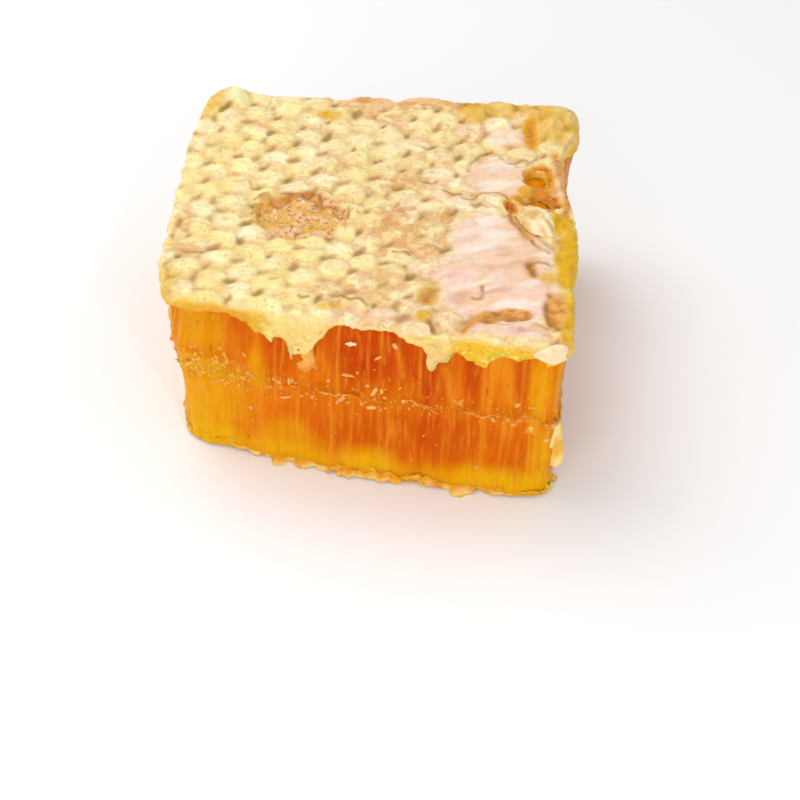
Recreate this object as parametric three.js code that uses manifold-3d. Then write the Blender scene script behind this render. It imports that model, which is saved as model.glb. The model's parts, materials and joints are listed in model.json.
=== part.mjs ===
// A square piece cut out of a filled honeycomb, lying on one capped face.
//
// The piece is five layers that run right through it, as bees build a comb:
// a wax capping, a layer of honey-filled cells, the wax midrib that both sets
// of cells start from, a second layer of cells, and the capping underneath.
// Millimetres, +Z up, origin at the middle of the footprint on the ground,
// front cut face towards -Y.

import * as THREE from 'three';
import { mergeVertices } from 'three/addons/utils/BufferGeometryUtils.js';
import Module from 'manifold-3d';

// ---- Driving dimensions -------------------------------------------------

const CELL_PITCH = 5.5;                       // across the flats of one worker cell
const CELL_CORNER = CELL_PITCH / Math.sqrt(3);  // from a cell's centre to its corner
const COLUMN_STEP = CELL_PITCH * Math.sqrt(3) / 2;
const UPPER_CELLS = 0;                        // where a layer's cell lattice starts, along X
const LOWER_CELLS = CELL_CORNER;              // the far cells sit between the near ones
const COMB_HEIGHT = 32.0;                     // general level of the upper pads

// Corners of the cut, seen from above. The knife didn't cut it square.
const CORNERS = {
  frontLeft: new THREE.Vector2(-30.4, -29.6),
  frontRight: new THREE.Vector2(34.4, -33.9),
  backRight: new THREE.Vector2(32.8, 36.0),
  backLeft: new THREE.Vector2(-33.6, 30.9),
};
const CORNER_RADIUS = 2.4;
const STATIONS = 180;                         // steps round the cut faces

// Heights where one layer gives way to the next, inside the piece.
const CAPPING_LEVEL = 29.7;
const MIDRIB_TOP = 17.3;
const MIDRIB_BOTTOM = 16.3;
const HEM_LEVEL = 1.3;
const LAYER_GAP = 0.15;
const SEAM_DEPTH = 1.3;                       // how far in a ragged seam turns level

// How far each cut face leans in (+) or out (-) at the ground.
const LEAN = { left: 2.6, right: 1.2, back: 1.0, frontLeft: 2.2, frontRight: -0.9 };
const FRONT_BELLY = 2.6;                      // the front bulges at its foot
const LEFT_BULGE = 2.3;                       // the left cut face bellies outwards
const LEFT_STEPS = 0.45;                      // in uneven steps

const RIGHT_HOLLOW = { depth: 2.3, from: -4, deepest: 15, back: 21, to: 27 };  // along Y

const FLUTE_DEPTH = 0.7;                      // a cut cell's hollow between two walls
const WALL_RIDGE = 1.3;                       // half width of the ridge a cut wall leaves
const FACE_WOBBLE = 0.45;                     // unevenness of the cut faces
const WAX_PROUD = 0.4;                        // wax stands out past the honey
const MIDRIB_PROUD = 0.35;

// Wax tongues torn down over the front face: place along X, half width, drop.
const TONGUES = [
  { at: -25.5, half: 3.0, drop: 0.8 },
  { at: -14.0, half: 6.5, drop: 4.4 },
  { at: -9.9, half: 2.6, drop: 8.4 },
  { at: -7.6, half: 5.0, drop: 4.6 },
  { at: 9.5, half: 5.0, drop: 2.4 },
  { at: 12.7, half: 2.6, drop: 7.0 },
  { at: 15.0, half: 4.0, drop: 4.0 },
  { at: 20.5, half: 5.5, drop: 3.7 },
  { at: 26.5, half: 5.0, drop: 1.7 },
  { at: 31.5, half: 2.2, drop: 2.0 },
];
// Nicks in the lower edge of the front face: place along X, half width, rise.
const NICKS = [
  { at: 10.2, half: 1.8, rise: 2.4 },
  { at: 22.6, half: 1.6, rise: 2.2 },
  { at: 30.8, half: 1.5, rise: 2.0 },
];
const HEM_CORNER_RISE = 1.5;                  // the front corners lift off the ground
const HEM_TORN = 0.35;                        // the hem's usual height off the ground
const HEM_HEIGHT = 1.3;                       // from the seam to the hem's upper edge
const HEM_LEAST = 0.5;
const FOOT_INSET = 2.2;                       // flat foot, in from the ragged hem
const SKIRT = { least: 0.1, front: 0.3, sides: 0.6 };  // capping edge below its seam
const SHOULDER = 1.3;                         // the capping stays upright this far up

// Relief of the upper capping.
const TOP_SWING = 0.3;                        // the whole face is this uneven
const PAD = { crown: 0.16, saddle: -0.3, dimple: -0.85, scatter: 0.16 };
const CROWN_WIDTH = 0.6;                      // share of a cap that is nearly level
// Raised places: middle, radius, height.
const SWELLS = [
  { x: -30.0, y: 29.6, radius: 5.4, rise: 3.6 },
  { x: 29.5, y: 31.0, radius: 7.5, rise: 1.9 },
  { x: 19.0, y: 34.0, radius: 8.0, rise: 1.1 },
  { x: 8.0, y: 34.0, radius: 8.0, rise: 1.1 },
  { x: 30.4, y: -1.6, radius: 3.2, rise: 1.2 },
  { x: 20.0, y: -15.0, radius: 13.0, rise: 0.35 },
];
// Where honey has wetted the wax smooth: middle, radii.
const WET_PATCHES = [
  { x: 21.0, y: -17.0, rx: 9.5, ry: 14.5 },
  { x: 20.2, y: 12.0, rx: 5.5, ry: 6.5 },
];
// Where the caps are torn off and crumbs of wax are left.
const TORN_PATCH = { x: -12.2, y: -4.6, rx: 9.0, ry: 6.6, depth: 0.85, crumble: 0.3 };
// Cells with their cap gone, some right through the capping: middle, radii, depth.
const OPEN_CELLS = [
  { x: 27.0, y: 12.3, rx: 2.3, ry: 2.5, depth: 3.2 },
  { x: 27.8, y: 5.6, rx: 3.0, ry: 1.8, depth: 3.2 },
  { x: 25.2, y: 25.8, rx: 1.8, ry: 3.0, depth: 1.2 },
  { x: 10.9, y: -23.9, rx: 1.9, ry: 2.2, depth: 1.0 },
  { x: 22.4, y: -27.6, rx: 5.0, ry: 1.8, depth: 0.9 },
];
const KEY_STEPS = 20;                         // places closer than 1/20 mm are one vertex
const RELIEF_REACH = 37;                      // the relief solid runs past the cut faces
const RELIEF_FLOOR = 14;                      // the relief solid reaches below any skirt
const BLANK_TOP = 38;                         // the uncut capping reaches above any swell
const BLANK_SLOPE = 5.5;                      // and draws in this far, to round its edge

// ---- Repeatable unevenness ----------------------------------------------

const SEED = 17.31;
const WOBBLES = {                             // millimetres to a swing, and a slice of the noise
  cutFace: { size: 9, slice: 0 },
  leftSteps: { size: 6.5, slice: 0 },
  flute: { size: 5, slice: 10 },
  skirtRagged: { size: 3.4, slice: 20 },
  skirtSwing: { size: 9, slice: 30 },
  skirtFront: { size: 2.5, slice: 40 },
  midribLine: { size: 7, slice: 50 },
  midribThick: { size: 3, slice: 60 },
  midribProud: { size: 3, slice: 70 },
  hemTop: { size: 3.6, slice: 80 },
  hemFoot: { size: 2.8, slice: 90 },
  frill: { size: 2.6, slice: 100 },
  topLevel: { size: 14, slice: 110 },
  tornEdge: { size: 3, slice: 120 },
  crumble: { size: 1.7, slice: 130 },
  padFade: { size: 11, slice: 140 },
  padScatter: { size: 0.4, slice: 150 },
};

function hash(i, j, k) {
  const wave = Math.sin(i * 127.1 + j * 311.7 + k * 74.7 + SEED) * 43758.5453;
  return wave - Math.floor(wave);
}

// Smooth unevenness from -1 to 1 at a place.
function wobble(kind, x, y, z = 0) {
  const { size, slice } = WOBBLES[kind];
  const [px, py, pz] = [x / size, y / size, z / size + slice];
  const [i, j, k] = [Math.floor(px), Math.floor(py), Math.floor(pz)];
  const ease = (t) => t * t * (3 - 2 * t);
  const [u, v, w] = [ease(px - i), ease(py - j), ease(pz - k)];
  const mix = THREE.MathUtils.lerp;
  const row = (b, c) => mix(hash(i, j + b, k + c), hash(i + 1, j + b, k + c), u);
  return 2 * mix(mix(row(0, 0), row(1, 0), v), mix(row(0, 1), row(1, 1), v), w) - 1;
}

// ---- The cell lattice -----------------------------------------------------

function cellCentre(column, row, cells) {
  const stagger = Math.abs(column % 2) * CELL_PITCH / 2;
  return new THREE.Vector2(column * COLUMN_STEP + cells, row * CELL_PITCH + stagger);
}

// Distance from a place to the nearest cell wall.
function wallDistance(x, y, cells) {
  const column = Math.round((x - cells) / COLUMN_STEP);
  const row = Math.round(y / CELL_PITCH);
  const reach = [];
  for (let c = column - 1; c <= column + 1; c += 1) {
    for (let r = row - 2; r <= row + 1; r += 1) {
      reach.push(cellCentre(c, r, cells).distanceTo(new THREE.Vector2(x, y)));
    }
  }
  reach.sort((a, b) => a - b);
  return (reach[1] - reach[0]) / 2;
}

// ---- The cut faces ----------------------------------------------------------

// Stations round the cut, each with its place and outward direction.
function cutStations() {
  const corners = [CORNERS.frontLeft, CORNERS.frontRight, CORNERS.backRight, CORNERS.backLeft];
  const towards = (corner, other) => other.clone().sub(corner).setLength(CORNER_RADIUS).add(corner);
  const shape = new THREE.Shape();
  corners.forEach((corner, index) => {
    const before = towards(corner, corners[(index + 3) % 4]);
    const after = towards(corner, corners[(index + 1) % 4]);
    if (index === 0) shape.moveTo(before.x, before.y);
    else shape.lineTo(before.x, before.y);
    shape.quadraticCurveTo(corner.x, corner.y, after.x, after.y);
  });
  shape.closePath();
  const points = shape.getSpacedPoints(STATIONS).slice(0, STATIONS);
  return points.map((point, index) => {
    const next = points[(index + 1) % STATIONS];
    const last = points[(index + STATIONS - 1) % STATIONS];
    const along = next.clone().sub(last).normalize();
    return { x: point.x, y: point.y, nx: along.y, ny: -along.x };
  });
}

const stations = cutStations();

// How much a station belongs to one face, from 0 to 1.
const facing = (part) => THREE.MathUtils.smoothstep(part, 0.35, 0.9);
const isFront = (s) => facing(-s.ny);

// The cut faces lean: at the ground the outline has moved by this much.
function leanAt(x, y) {
  const across = THREE.MathUtils.inverseLerp(CORNERS.frontLeft.x, CORNERS.frontRight.x, x);
  const deep = THREE.MathUtils.inverseLerp(CORNERS.frontRight.y, CORNERS.backRight.y, y);
  const belly = FRONT_BELLY * (1 - (2 * across - 1) ** 2);
  const front = THREE.MathUtils.lerp(LEAN.frontLeft, LEAN.frontRight, across) - belly;
  return new THREE.Vector2(
    THREE.MathUtils.lerp(LEAN.left, -LEAN.right, across),
    THREE.MathUtils.lerp(front, -LEAN.back, deep),
  );
}

// The left face bellies out in steps and the right face has a long hollow.
function bulgeAt(s) {
  const { smoothstep } = THREE.MathUtils;
  const reach = Math.max(0, 1 - (s.y / CORNERS.backLeft.y) ** 4);
  const left = reach * (LEFT_BULGE + LEFT_STEPS * wobble('leftSteps', s.x, s.y));
  const { depth, from, deepest, back, to } = RIGHT_HOLLOW;
  const right = depth * smoothstep(s.y, from, deepest) * (1 - smoothstep(s.y, back, to));
  return facing(-s.nx) * left - facing(s.nx) * right;
}

function fluteOffset(s, z, cells) {
  const open = THREE.MathUtils.smoothstep(wallDistance(s.x, s.y, cells), 0, WALL_RIDGE);
  return -FLUTE_DEPTH * (0.7 + 0.3 * wobble('flute', s.x, s.y, z)) * open;
}

// A ring of points at a height, each moved out of the cut face by an offset.
// Both may be numbers or functions of the station.
function ring(height, offset) {
  return stations.map((s) => {
    const z = typeof height === 'function' ? height(s) : height;
    const proud = typeof offset === 'function' ? offset(s, z) : offset;
    const out = bulgeAt(s) + FACE_WOBBLE * wobble('cutFace', s.x, s.y, z) + proud;
    const [x, y] = [s.x + s.nx * out, s.y + s.ny * out];
    const lean = leanAt(x, y).multiplyScalar(1 - z / COMB_HEIGHT);
    return new THREE.Vector3(x + lean.x, y + lean.y, z);
  });
}

// The same ring drawn in towards the middle of the piece.
function drawnIn(points, depth) {
  return points.map((point) => {
    const keep = 1 - depth / Math.hypot(point.x, point.y);
    return new THREE.Vector3(point.x * keep, point.y * keep, point.z);
  });
}

// ---- The seams between the layers --------------------------------------------

// Height of the tallest of some peaks at a place along X.
function peaksAt(peaks, x, height) {
  return Math.max(...peaks.map((peak) => peak[height] * Math.max(0, 1 - Math.abs(x - peak.at) / peak.half)));
}

// Lower edge of the upper capping on the cut faces.
function cappingEdge(s) {
  const ragged = Math.max(0, wobble('skirtRagged', s.x, s.y));
  const swing = Math.max(0, wobble('skirtSwing', s.x, s.y));
  const sides = SKIRT.sides * (1 + 1.2 * ragged + swing);
  const front = SKIRT.front * (1 + 0.7 * wobble('skirtFront', s.x, s.y)) + peaksAt(TONGUES, s.x, 'drop');
  return CAPPING_LEVEL - SKIRT.least - THREE.MathUtils.lerp(sides, front, isFront(s));
}

const midribTopEdge = (s) => MIDRIB_TOP + 0.55 * wobble('midribLine', s.x, s.y);
const midribBottomEdge = (s) => midribTopEdge(s) - 0.95 - 0.3 * wobble('midribThick', s.x, s.y);

// Upper edge of the lower capping on the cut faces.
const hemTop = (s) => HEM_LEVEL + HEM_HEIGHT * (1 + 0.85 * wobble('hemTop', s.x, s.y));

// Lower edge of the ragged hem, clear of the ground where it is torn away.
function hemFoot(s) {
  const torn = HEM_TORN * (1 + wobble('hemFoot', s.x, s.y));
  const across = THREE.MathUtils.inverseLerp(CORNERS.frontLeft.x, CORNERS.frontRight.x, s.x);
  const corner = HEM_CORNER_RISE * (2 * across - 1) ** 4;
  const front = corner + peaksAt(NICKS, s.x, 'rise');
  return Math.min(torn + isFront(s) * front, hemTop(s) - HEM_LEAST);
}

// ---- Closed layers from rings ----------------------------------------------

function closedGeometry(points, faces) {
  const geometry = new THREE.BufferGeometry();
  const positions = new Float32Array(points.flatMap((point) => [point.x, point.y, point.z]));
  geometry.setAttribute('position', new THREE.BufferAttribute(positions, 3));
  geometry.setIndex(faces.flat());
  return geometry;
}

// A solid skinned over rings that run from the underside up and over to the
// top, closed by a fan at each end. The strip at the top is split along the
// other diagonal, so that it matches the lowest strip of the layer above.
function layerGeometry(rings) {
  const points = rings.flat();
  const faces = [];
  for (let level = 0; level + 1 < rings.length; level += 1) {
    for (let i = 0; i < STATIONS; i += 1) {
      const next = (i + 1) % STATIONS;
      const [a, b] = [level * STATIONS + i, level * STATIONS + next];
      const [c, d] = [a + STATIONS, b + STATIONS];
      if (level + 2 === rings.length) faces.push([a, b, c], [b, d, c]);
      else faces.push([a, b, d], [a, d, c]);
    }
  }
  const [bottom, top] = [points.length, points.length + 1];
  points.push(new THREE.Vector3(0, 0, rings[0][0].z));
  points.push(new THREE.Vector3(0, 0, rings[rings.length - 1][0].z));
  const last = (rings.length - 1) * STATIONS;
  for (let i = 0; i < STATIONS; i += 1) {
    const next = (i + 1) % STATIONS;
    faces.push([bottom, next, i], [top, last + i, last + next]);
  }
  return closedGeometry(points, faces);
}

// The two rings of a seam: ragged on the cut face and level further in. Both
// layers that meet there use the same places, one a little above the other.
function seam(edge, level, cells, rise) {
  const outer = ring(edge, (s, z) => fluteOffset(s, z, cells));
  const inner = drawnIn(ring(level, 0), SEAM_DEPTH);
  return [outer, inner].map((points) => points.map((point) => point.clone().setZ(point.z + rise)));
}

// A layer's lower seam, from the inside out, and its upper seam, from the outside in.
const floorSeam = (edge, level, cells) => seam(edge, level, cells, LAYER_GAP / 2).reverse();
const roofSeam = (edge, level, cells) => seam(edge, level, cells, -LAYER_GAP / 2);

function upperCombGeometry() {
  const middle = (s) => (midribTopEdge(s) + cappingEdge(s)) / 2;
  return layerGeometry([
    ...floorSeam(midribTopEdge, MIDRIB_TOP, UPPER_CELLS),
    ring(middle, (s, z) => fluteOffset(s, z, UPPER_CELLS)),
    ...roofSeam(cappingEdge, CAPPING_LEVEL, UPPER_CELLS),
  ]);
}

function midribGeometry() {
  const middle = (s) => (midribBottomEdge(s) + midribTopEdge(s)) / 2;
  return layerGeometry([
    ...floorSeam(midribBottomEdge, MIDRIB_BOTTOM, LOWER_CELLS),
    ring(middle, (s) => MIDRIB_PROUD * (1 + wobble('midribProud', s.x, s.y))),
    ...roofSeam(midribTopEdge, MIDRIB_TOP, UPPER_CELLS),
  ]);
}

function lowerCombGeometry() {
  const middle = (s) => (hemTop(s) + midribBottomEdge(s)) / 2;
  return layerGeometry([
    ...floorSeam(hemTop, HEM_LEVEL, LOWER_CELLS),
    ring(middle, (s, z) => fluteOffset(s, z, LOWER_CELLS)),
    ...roofSeam(midribBottomEdge, MIDRIB_BOTTOM, LOWER_CELLS),
  ]);
}

function bottomCappingGeometry() {
  const frill = (s) => WAX_PROUD * (0.6 + 1.2 * wobble('frill', s.x, s.y));
  return layerGeometry([
    drawnIn(ring(0, 0), FOOT_INSET),
    ring(hemFoot, frill),
    ...roofSeam(hemTop, HEM_LEVEL, LOWER_CELLS),
  ]);
}

// ---- The upper capping -------------------------------------------------------

// The capping before its pads are shaped: skirted below and far too tall.
function cappingBlank() {
  const frill = (s) => WAX_PROUD * (1 + 0.6 * wobble('frill', s.x, s.y));
  return layerGeometry([
    ...floorSeam(cappingEdge, CAPPING_LEVEL, UPPER_CELLS),
    ring((s) => cappingEdge(s) + LAYER_GAP, frill),
    ring(CAPPING_LEVEL + SHOULDER, frill),
    drawnIn(ring(BLANK_TOP, 0), BLANK_SLOPE),
  ]);
}

// 0 at the middle of a patch and 1 at its rim.
const patchAt = ({ x, y, rx, ry }, px, py) => Math.hypot((px - x) / rx, (py - y) / ry);

// Level of the wax before the pads are added, with its swells and the torn patch.
function waxLevel(x, y) {
  const swell = SWELLS.reduce((sum, lump) => {
    const near = Math.hypot(x - lump.x, y - lump.y) / lump.radius;
    return sum + lump.rise * Math.exp(-1.6 * near ** 2);
  }, 0);
  const rim = patchAt(TORN_PATCH, x, y) + 0.18 * wobble('tornEdge', x, y);
  const torn = 1 - THREE.MathUtils.smoothstep(rim, 0.85, 1.05);
  const crumble = TORN_PATCH.crumble * wobble('crumble', x, y);
  return COMB_HEIGHT + swell + TOP_SWING * wobble('topLevel', x, y) - torn * (TORN_PATCH.depth + crumble);
}

// How far the pads still show: 0 where wet honey or a tear has levelled them.
function padStrength(x, y) {
  const wet = WET_PATCHES.map((patch) => THREE.MathUtils.smoothstep(patchAt(patch, x, y), 0.85, 1.1));
  const torn = THREE.MathUtils.smoothstep(patchAt(TORN_PATCH, x, y), 0.8, 1.05);
  return Math.min(...wet, 0.3 + 0.7 * torn) * (0.75 + 0.25 * wobble('padFade', x, y));
}

function openDepth(x, y) {
  const depths = OPEN_CELLS.map((cell) => (
    cell.depth * (1 - THREE.MathUtils.smoothstep(patchAt(cell, x, y), 0.75, 1.05))
  ));
  return Math.max(...depths);
}

// A slab whose upper side is one cap for each cell: a crown, a saddle to each
// neighbour and a dimple where three caps meet.
function reliefGeometry() {
  const points = [];
  const faces = [];
  const known = new Map();
  const vertex = (x, y, kind) => {
    const key = `${Math.round(x * KEY_STEPS + 0.25)},${Math.round(y * KEY_STEPS + 0.25)}`;
    if (!known.has(key)) {
      const scatter = PAD.scatter * wobble('padScatter', x, y);
      const height = waxLevel(x, y) + padStrength(x, y) * (PAD[kind] + scatter) - openDepth(x, y);
      known.set(key, points.push(new THREE.Vector3(x, y, height)) - 1);
    }
    return known.get(key);
  };
  const columns = Math.ceil(RELIEF_REACH / COLUMN_STEP);
  const rows = Math.ceil(RELIEF_REACH / CELL_PITCH);
  for (let column = -columns; column <= columns; column += 1) {
    for (let row = -rows; row <= rows; row += 1) {
      const { x, y } = cellCentre(column, row, UPPER_CELLS);
      const centre = vertex(x, y, 'crown');
      const around = (angle, radius, kind) => (
        vertex(x + radius * Math.cos(angle), y + radius * Math.sin(angle), kind)
      );
      for (let side = 0; side < 6; side += 1) {
        const [start, end] = [side * Math.PI / 3, (side + 1) * Math.PI / 3];
        const corner = around(start, CELL_CORNER, 'dimple');
        const nextCorner = around(end, CELL_CORNER, 'dimple');
        const edge = around((start + end) / 2, CELL_PITCH / 2, 'saddle');
        const inner = around(start, CELL_CORNER * CROWN_WIDTH, 'crown');
        const nextInner = around(end, CELL_CORNER * CROWN_WIDTH, 'crown');
        faces.push([centre, inner, nextInner], [inner, corner, edge]);
        faces.push([inner, edge, nextInner], [nextInner, edge, nextCorner]);
      }
    }
  }
  return closeBelow(points, faces);
}

// Gives an open sheet a flat floor and walls, so that it is a solid.
function closeBelow(points, faces) {
  const edges = new Map();
  faces.forEach((face) => face.forEach((from, i) => {
    const to = face[(i + 1) % 3];
    if (!edges.delete(`${to},${from}`)) edges.set(`${from},${to}`, [from, to]);
  }));
  const centre = points.push(new THREE.Vector3(0, 0, RELIEF_FLOOR)) - 1;
  const dropped = new Map();
  const below = (index) => {
    if (!dropped.has(index)) dropped.set(index, points.push(points[index].clone().setZ(RELIEF_FLOOR)) - 1);
    return dropped.get(index);
  };
  edges.forEach(([from, to]) => {
    faces.push([from, below(from), below(to)], [from, below(to), to]);
    faces.push([centre, below(to), below(from)]);
  });
  return closedGeometry(points, faces);
}

async function topCappingGeometry() {
  const wasm = await Module();
  wasm.setup();
  const solid = (geometry) => {
    const merged = mergeVertices(geometry, 1e-4);
    return new wasm.Manifold(new wasm.Mesh({
      numProp: 3,
      vertProperties: merged.getAttribute('position').array,
      triVerts: Uint32Array.from(merged.getIndex().array),
    }));
  };
  const carved = solid(cappingBlank()).intersect(solid(reliefGeometry()));
  const [largest] = carved.decompose().sort((a, b) => b.volume() - a.volume());
  const mesh = largest.getMesh();
  const geometry = new THREE.BufferGeometry();
  geometry.setAttribute('position', new THREE.BufferAttribute(Float32Array.from(mesh.vertProperties), 3));
  geometry.setIndex(Array.from(mesh.triVerts));
  return geometry;
}

// ---- The piece -----------------------------------------------------------------

const wax = (colour) => new THREE.MeshStandardMaterial({ color: colour, roughness: 0.55, metalness: 0 });
const honey = (colour) => new THREE.MeshStandardMaterial({ color: colour, roughness: 0.15, metalness: 0 });

function layer(name, geometry, material) {
  geometry.computeVertexNormals();
  const mesh = new THREE.Mesh(geometry, material);
  mesh.name = name;
  return mesh;
}

const honeycombPiece = new THREE.Group();
honeycombPiece.add(
  layer('top_capping', await topCappingGeometry(), wax(0xf0dca0)),
  layer('upper_comb', upperCombGeometry(), honey(0xd8720f)),
  layer('midrib', midribGeometry(), wax(0xe8b860)),
  layer('lower_comb', lowerCombGeometry(), honey(0xe0850f)),
  layer('bottom_capping', bottomCappingGeometry(), wax(0xf0d078)),
);

export default honeycombPiece;
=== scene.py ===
"""A square piece of capped honeycomb on a pale studio floor.

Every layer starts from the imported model's own solid. It is remeshed fine enough
to carry the comb's relief and is then sculpted: wax caps with dimples between
them, cut cells with honey between thin wax walls, a broken midrib and a ragged
hem. Loose things on top of that, such as wax crumbs, the curled flap and honey
beads, are pieces of their own.

Lengths are in millimetres, and MM turns them into Blender's metres.
"""

from __future__ import annotations

import json
import logging
import math
from dataclasses import dataclass
from enum import Enum
from typing import Optional, Sequence, Union

import bpy
import numpy as np
from mathutils import Matrix, Vector
from mathutils.bvhtree import BVHTree

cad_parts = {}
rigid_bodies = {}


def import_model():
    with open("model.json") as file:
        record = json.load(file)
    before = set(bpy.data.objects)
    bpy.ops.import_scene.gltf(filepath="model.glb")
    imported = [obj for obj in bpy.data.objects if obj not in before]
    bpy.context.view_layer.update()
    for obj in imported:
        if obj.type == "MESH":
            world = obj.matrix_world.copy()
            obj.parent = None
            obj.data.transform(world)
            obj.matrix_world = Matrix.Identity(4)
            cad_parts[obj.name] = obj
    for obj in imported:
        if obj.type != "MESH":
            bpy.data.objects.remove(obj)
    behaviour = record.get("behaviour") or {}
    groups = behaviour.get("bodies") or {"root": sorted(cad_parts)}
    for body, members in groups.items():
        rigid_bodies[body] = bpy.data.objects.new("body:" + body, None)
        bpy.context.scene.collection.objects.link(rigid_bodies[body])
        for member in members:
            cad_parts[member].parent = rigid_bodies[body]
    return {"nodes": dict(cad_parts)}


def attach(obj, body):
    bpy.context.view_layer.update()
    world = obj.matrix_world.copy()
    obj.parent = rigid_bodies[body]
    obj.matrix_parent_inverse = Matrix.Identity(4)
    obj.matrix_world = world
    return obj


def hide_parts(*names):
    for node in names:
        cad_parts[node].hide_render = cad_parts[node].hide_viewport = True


LOG = logging.getLogger("honeycomb")
MM = 0.001
BODY = "root"
OUTSIDE = 3.0  # millimetres from a face to where the search for a cover starts
FAR = 99.0     # a distance that counts as out of reach
MANY = 90      # this many points at one height are a layer's flat end

Colour = tuple[float, float, float]
Spot = tuple[float, float]
Size = tuple[float, float, float]


def srgb(red: int, green: int, blue: int) -> Colour:
    """Turns a colour as seen on a screen into the linear values of a shader.

    Args:
        red: Red from 0 to 255.
        green: Green from 0 to 255.
        blue: Blue from 0 to 255.

    Returns:
        The three linear values from 0 to 1.
    """
    def linear(value: float) -> float:
        """Undoes the screen's curve for one channel."""
        return value / 12.92 if value <= 0.04045 else ((value + 0.055) / 1.055) ** 2.4

    return (linear(red / 255), linear(green / 255), linear(blue / 255))


def smooth(values: np.ndarray, low: float, high: float) -> np.ndarray:
    """Eases from 0 at low to 1 at high."""
    t = np.clip((values - low) / (high - low), 0.0, 1.0)
    return t * t * (3.0 - 2.0 * t)


def ridge(values: np.ndarray, width: float) -> np.ndarray:
    """A bell that is 1 where values are 0 and has faded out at twice the width."""
    return np.exp(-((values / width) ** 2))


def chance_of(first: np.ndarray, second: np.ndarray) -> np.ndarray:
    """A random value from 0 to 1 for each pair of numbers, the same on every run."""
    return np.modf(np.abs(np.sin(first * 12.9898 + second * 78.233) * 43758.5453))[0]


def flattened(points: np.ndarray) -> np.ndarray:
    """The same points at height zero."""
    return points * np.array([1.0, 1.0, 0.0])


def broad_level(points: np.ndarray, weight: np.ndarray, bin_size: float = 0.75,
                reach: int = 5) -> np.ndarray:
    """The height of a surface without its small relief.

    Args:
        points: Points of the surface, one a row.
        weight: How much each point counts.
        bin_size: Size of the squares that heights are gathered in.
        reach: How many squares the blur reaches.

    Returns:
        One height for each point.
    """
    low = points[:, :2].min(axis=0) - 1e-6
    spot = (points[:, :2] - low) / bin_size
    shape = tuple(int(value) + 2 for value in spot.max(axis=0))
    cell = spot.astype(int)
    counts, sums = np.zeros(shape), np.zeros(shape)
    np.add.at(counts, (cell[:, 0], cell[:, 1]), weight)
    np.add.at(sums, (cell[:, 0], cell[:, 1]), weight * points[:, 2])
    kernel = np.exp(-(np.arange(-2 * reach, 2 * reach + 1) / reach) ** 2)
    for axis in (0, 1):
        counts = np.apply_along_axis(np.convolve, axis, counts, kernel, "same")
        sums = np.apply_along_axis(np.convolve, axis, sums, kernel, "same")
    level = sums / np.maximum(counts, 1e-9)
    part = np.clip(spot - 0.5, 0.0, None)
    base = part.astype(int)
    part = part - base
    total = np.zeros(len(points))
    for i, j in ((0, 0), (1, 0), (0, 1), (1, 1)):
        share = np.where(i, part[:, 0], 1 - part[:, 0]) * np.where(j, part[:, 1], 1 - part[:, 1])
        total += share * level[base[:, 0] + i, base[:, 1] + j]
    return total


# ---- Repeatable unevenness --------------------------------------------------


class Grain:
    """Smooth noise from -1 to 1 that is the same on every run."""

    OCTAVE_SHIFT = 31.7   # keeps the octaves from lining up

    def __init__(self, seed: int) -> None:
        """Keeps the seed."""
        self.seed = seed

    def _corner(self, cells: np.ndarray) -> np.ndarray:
        """Turns cells into numbers that look random.

        Args:
            cells: One cell a row, as three whole numbers.

        Returns:
            A number from -1 to 1 for each cell.
        """
        parts = (cells & 0xFFFFFFFF).astype(np.uint64)
        mixed = parts[:, 0] * 73856093 ^ parts[:, 1] * 19349663 ^ parts[:, 2] * 83492791
        mixed = (mixed ^ np.uint64(self.seed * 2654435761 % 2**32)) & 0xFFFFFFFF
        for shift, factor in ((16, 0x7FEB352D), (15, 0x846CA68B)):
            mixed = ((mixed ^ (mixed >> np.uint64(shift))) * np.uint64(factor)) & 0xFFFFFFFF
        return (mixed ^ (mixed >> np.uint64(16))).astype(float) / 2**31 - 1.0

    def at(self, points: np.ndarray, size: float, stretch: Sequence[float] = (1, 1, 1),
           shift: float = 0.0) -> np.ndarray:
        """Noise at some points.

        Args:
            points: One point a row.
            size: Length of one swing.
            stretch: How much longer a swing is along each axis.
            shift: Picks another part of the same noise.

        Returns:
            One value for each point.
        """
        scaled = (points + shift) / (size * np.asarray(stretch, float))
        base = np.floor(scaled).astype(np.int64)
        part = scaled - base
        part = part * part * (3.0 - 2.0 * part)
        total = np.zeros(len(points))
        for corner in range(8):
            step = np.array([(corner >> axis) & 1 for axis in range(3)])
            weight = np.prod(np.where(step, part, 1.0 - part), axis=1)
            total += weight * self._corner(base + step)
        return total

    def layered(self, points: np.ndarray, size: float, octaves: int = 3,
                stretch: Sequence[float] = (1, 1, 1), shift: float = 0.0) -> np.ndarray:
        """Noise with finer noise on top, each octave half as long and half as strong.

        Args:
            points: One point a row.
            size: Length of one swing of the first octave.
            octaves: How many there are.
            stretch: How much longer a swing is along each axis.
            shift: Picks another part of the same noise.

        Returns:
            One value for each point.
        """
        moved = points + shift
        total = np.zeros(len(points))
        for octave in range(octaves):
            total += self.at(moved, size / 2**octave, stretch, self.OCTAVE_SHIFT * octave) / 2**octave
        return total


# ---- The comb's own measures --------------------------------------------------


@dataclass(frozen=True)
class Nearby:
    """What lies round some places on a lattice of cells."""

    centre: np.ndarray      # distance to the nearest cell's centre
    wall: np.ndarray        # distance to the nearest wall
    junction: np.ndarray    # distance to where three cells meet, in sizes of its dimple
    depth: np.ndarray       # how deep that junction's dimple is, from 0 to 1
    cell: np.ndarray        # a random value from 0 to 1 for the nearest cell
    other: np.ndarray       # a second one


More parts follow.
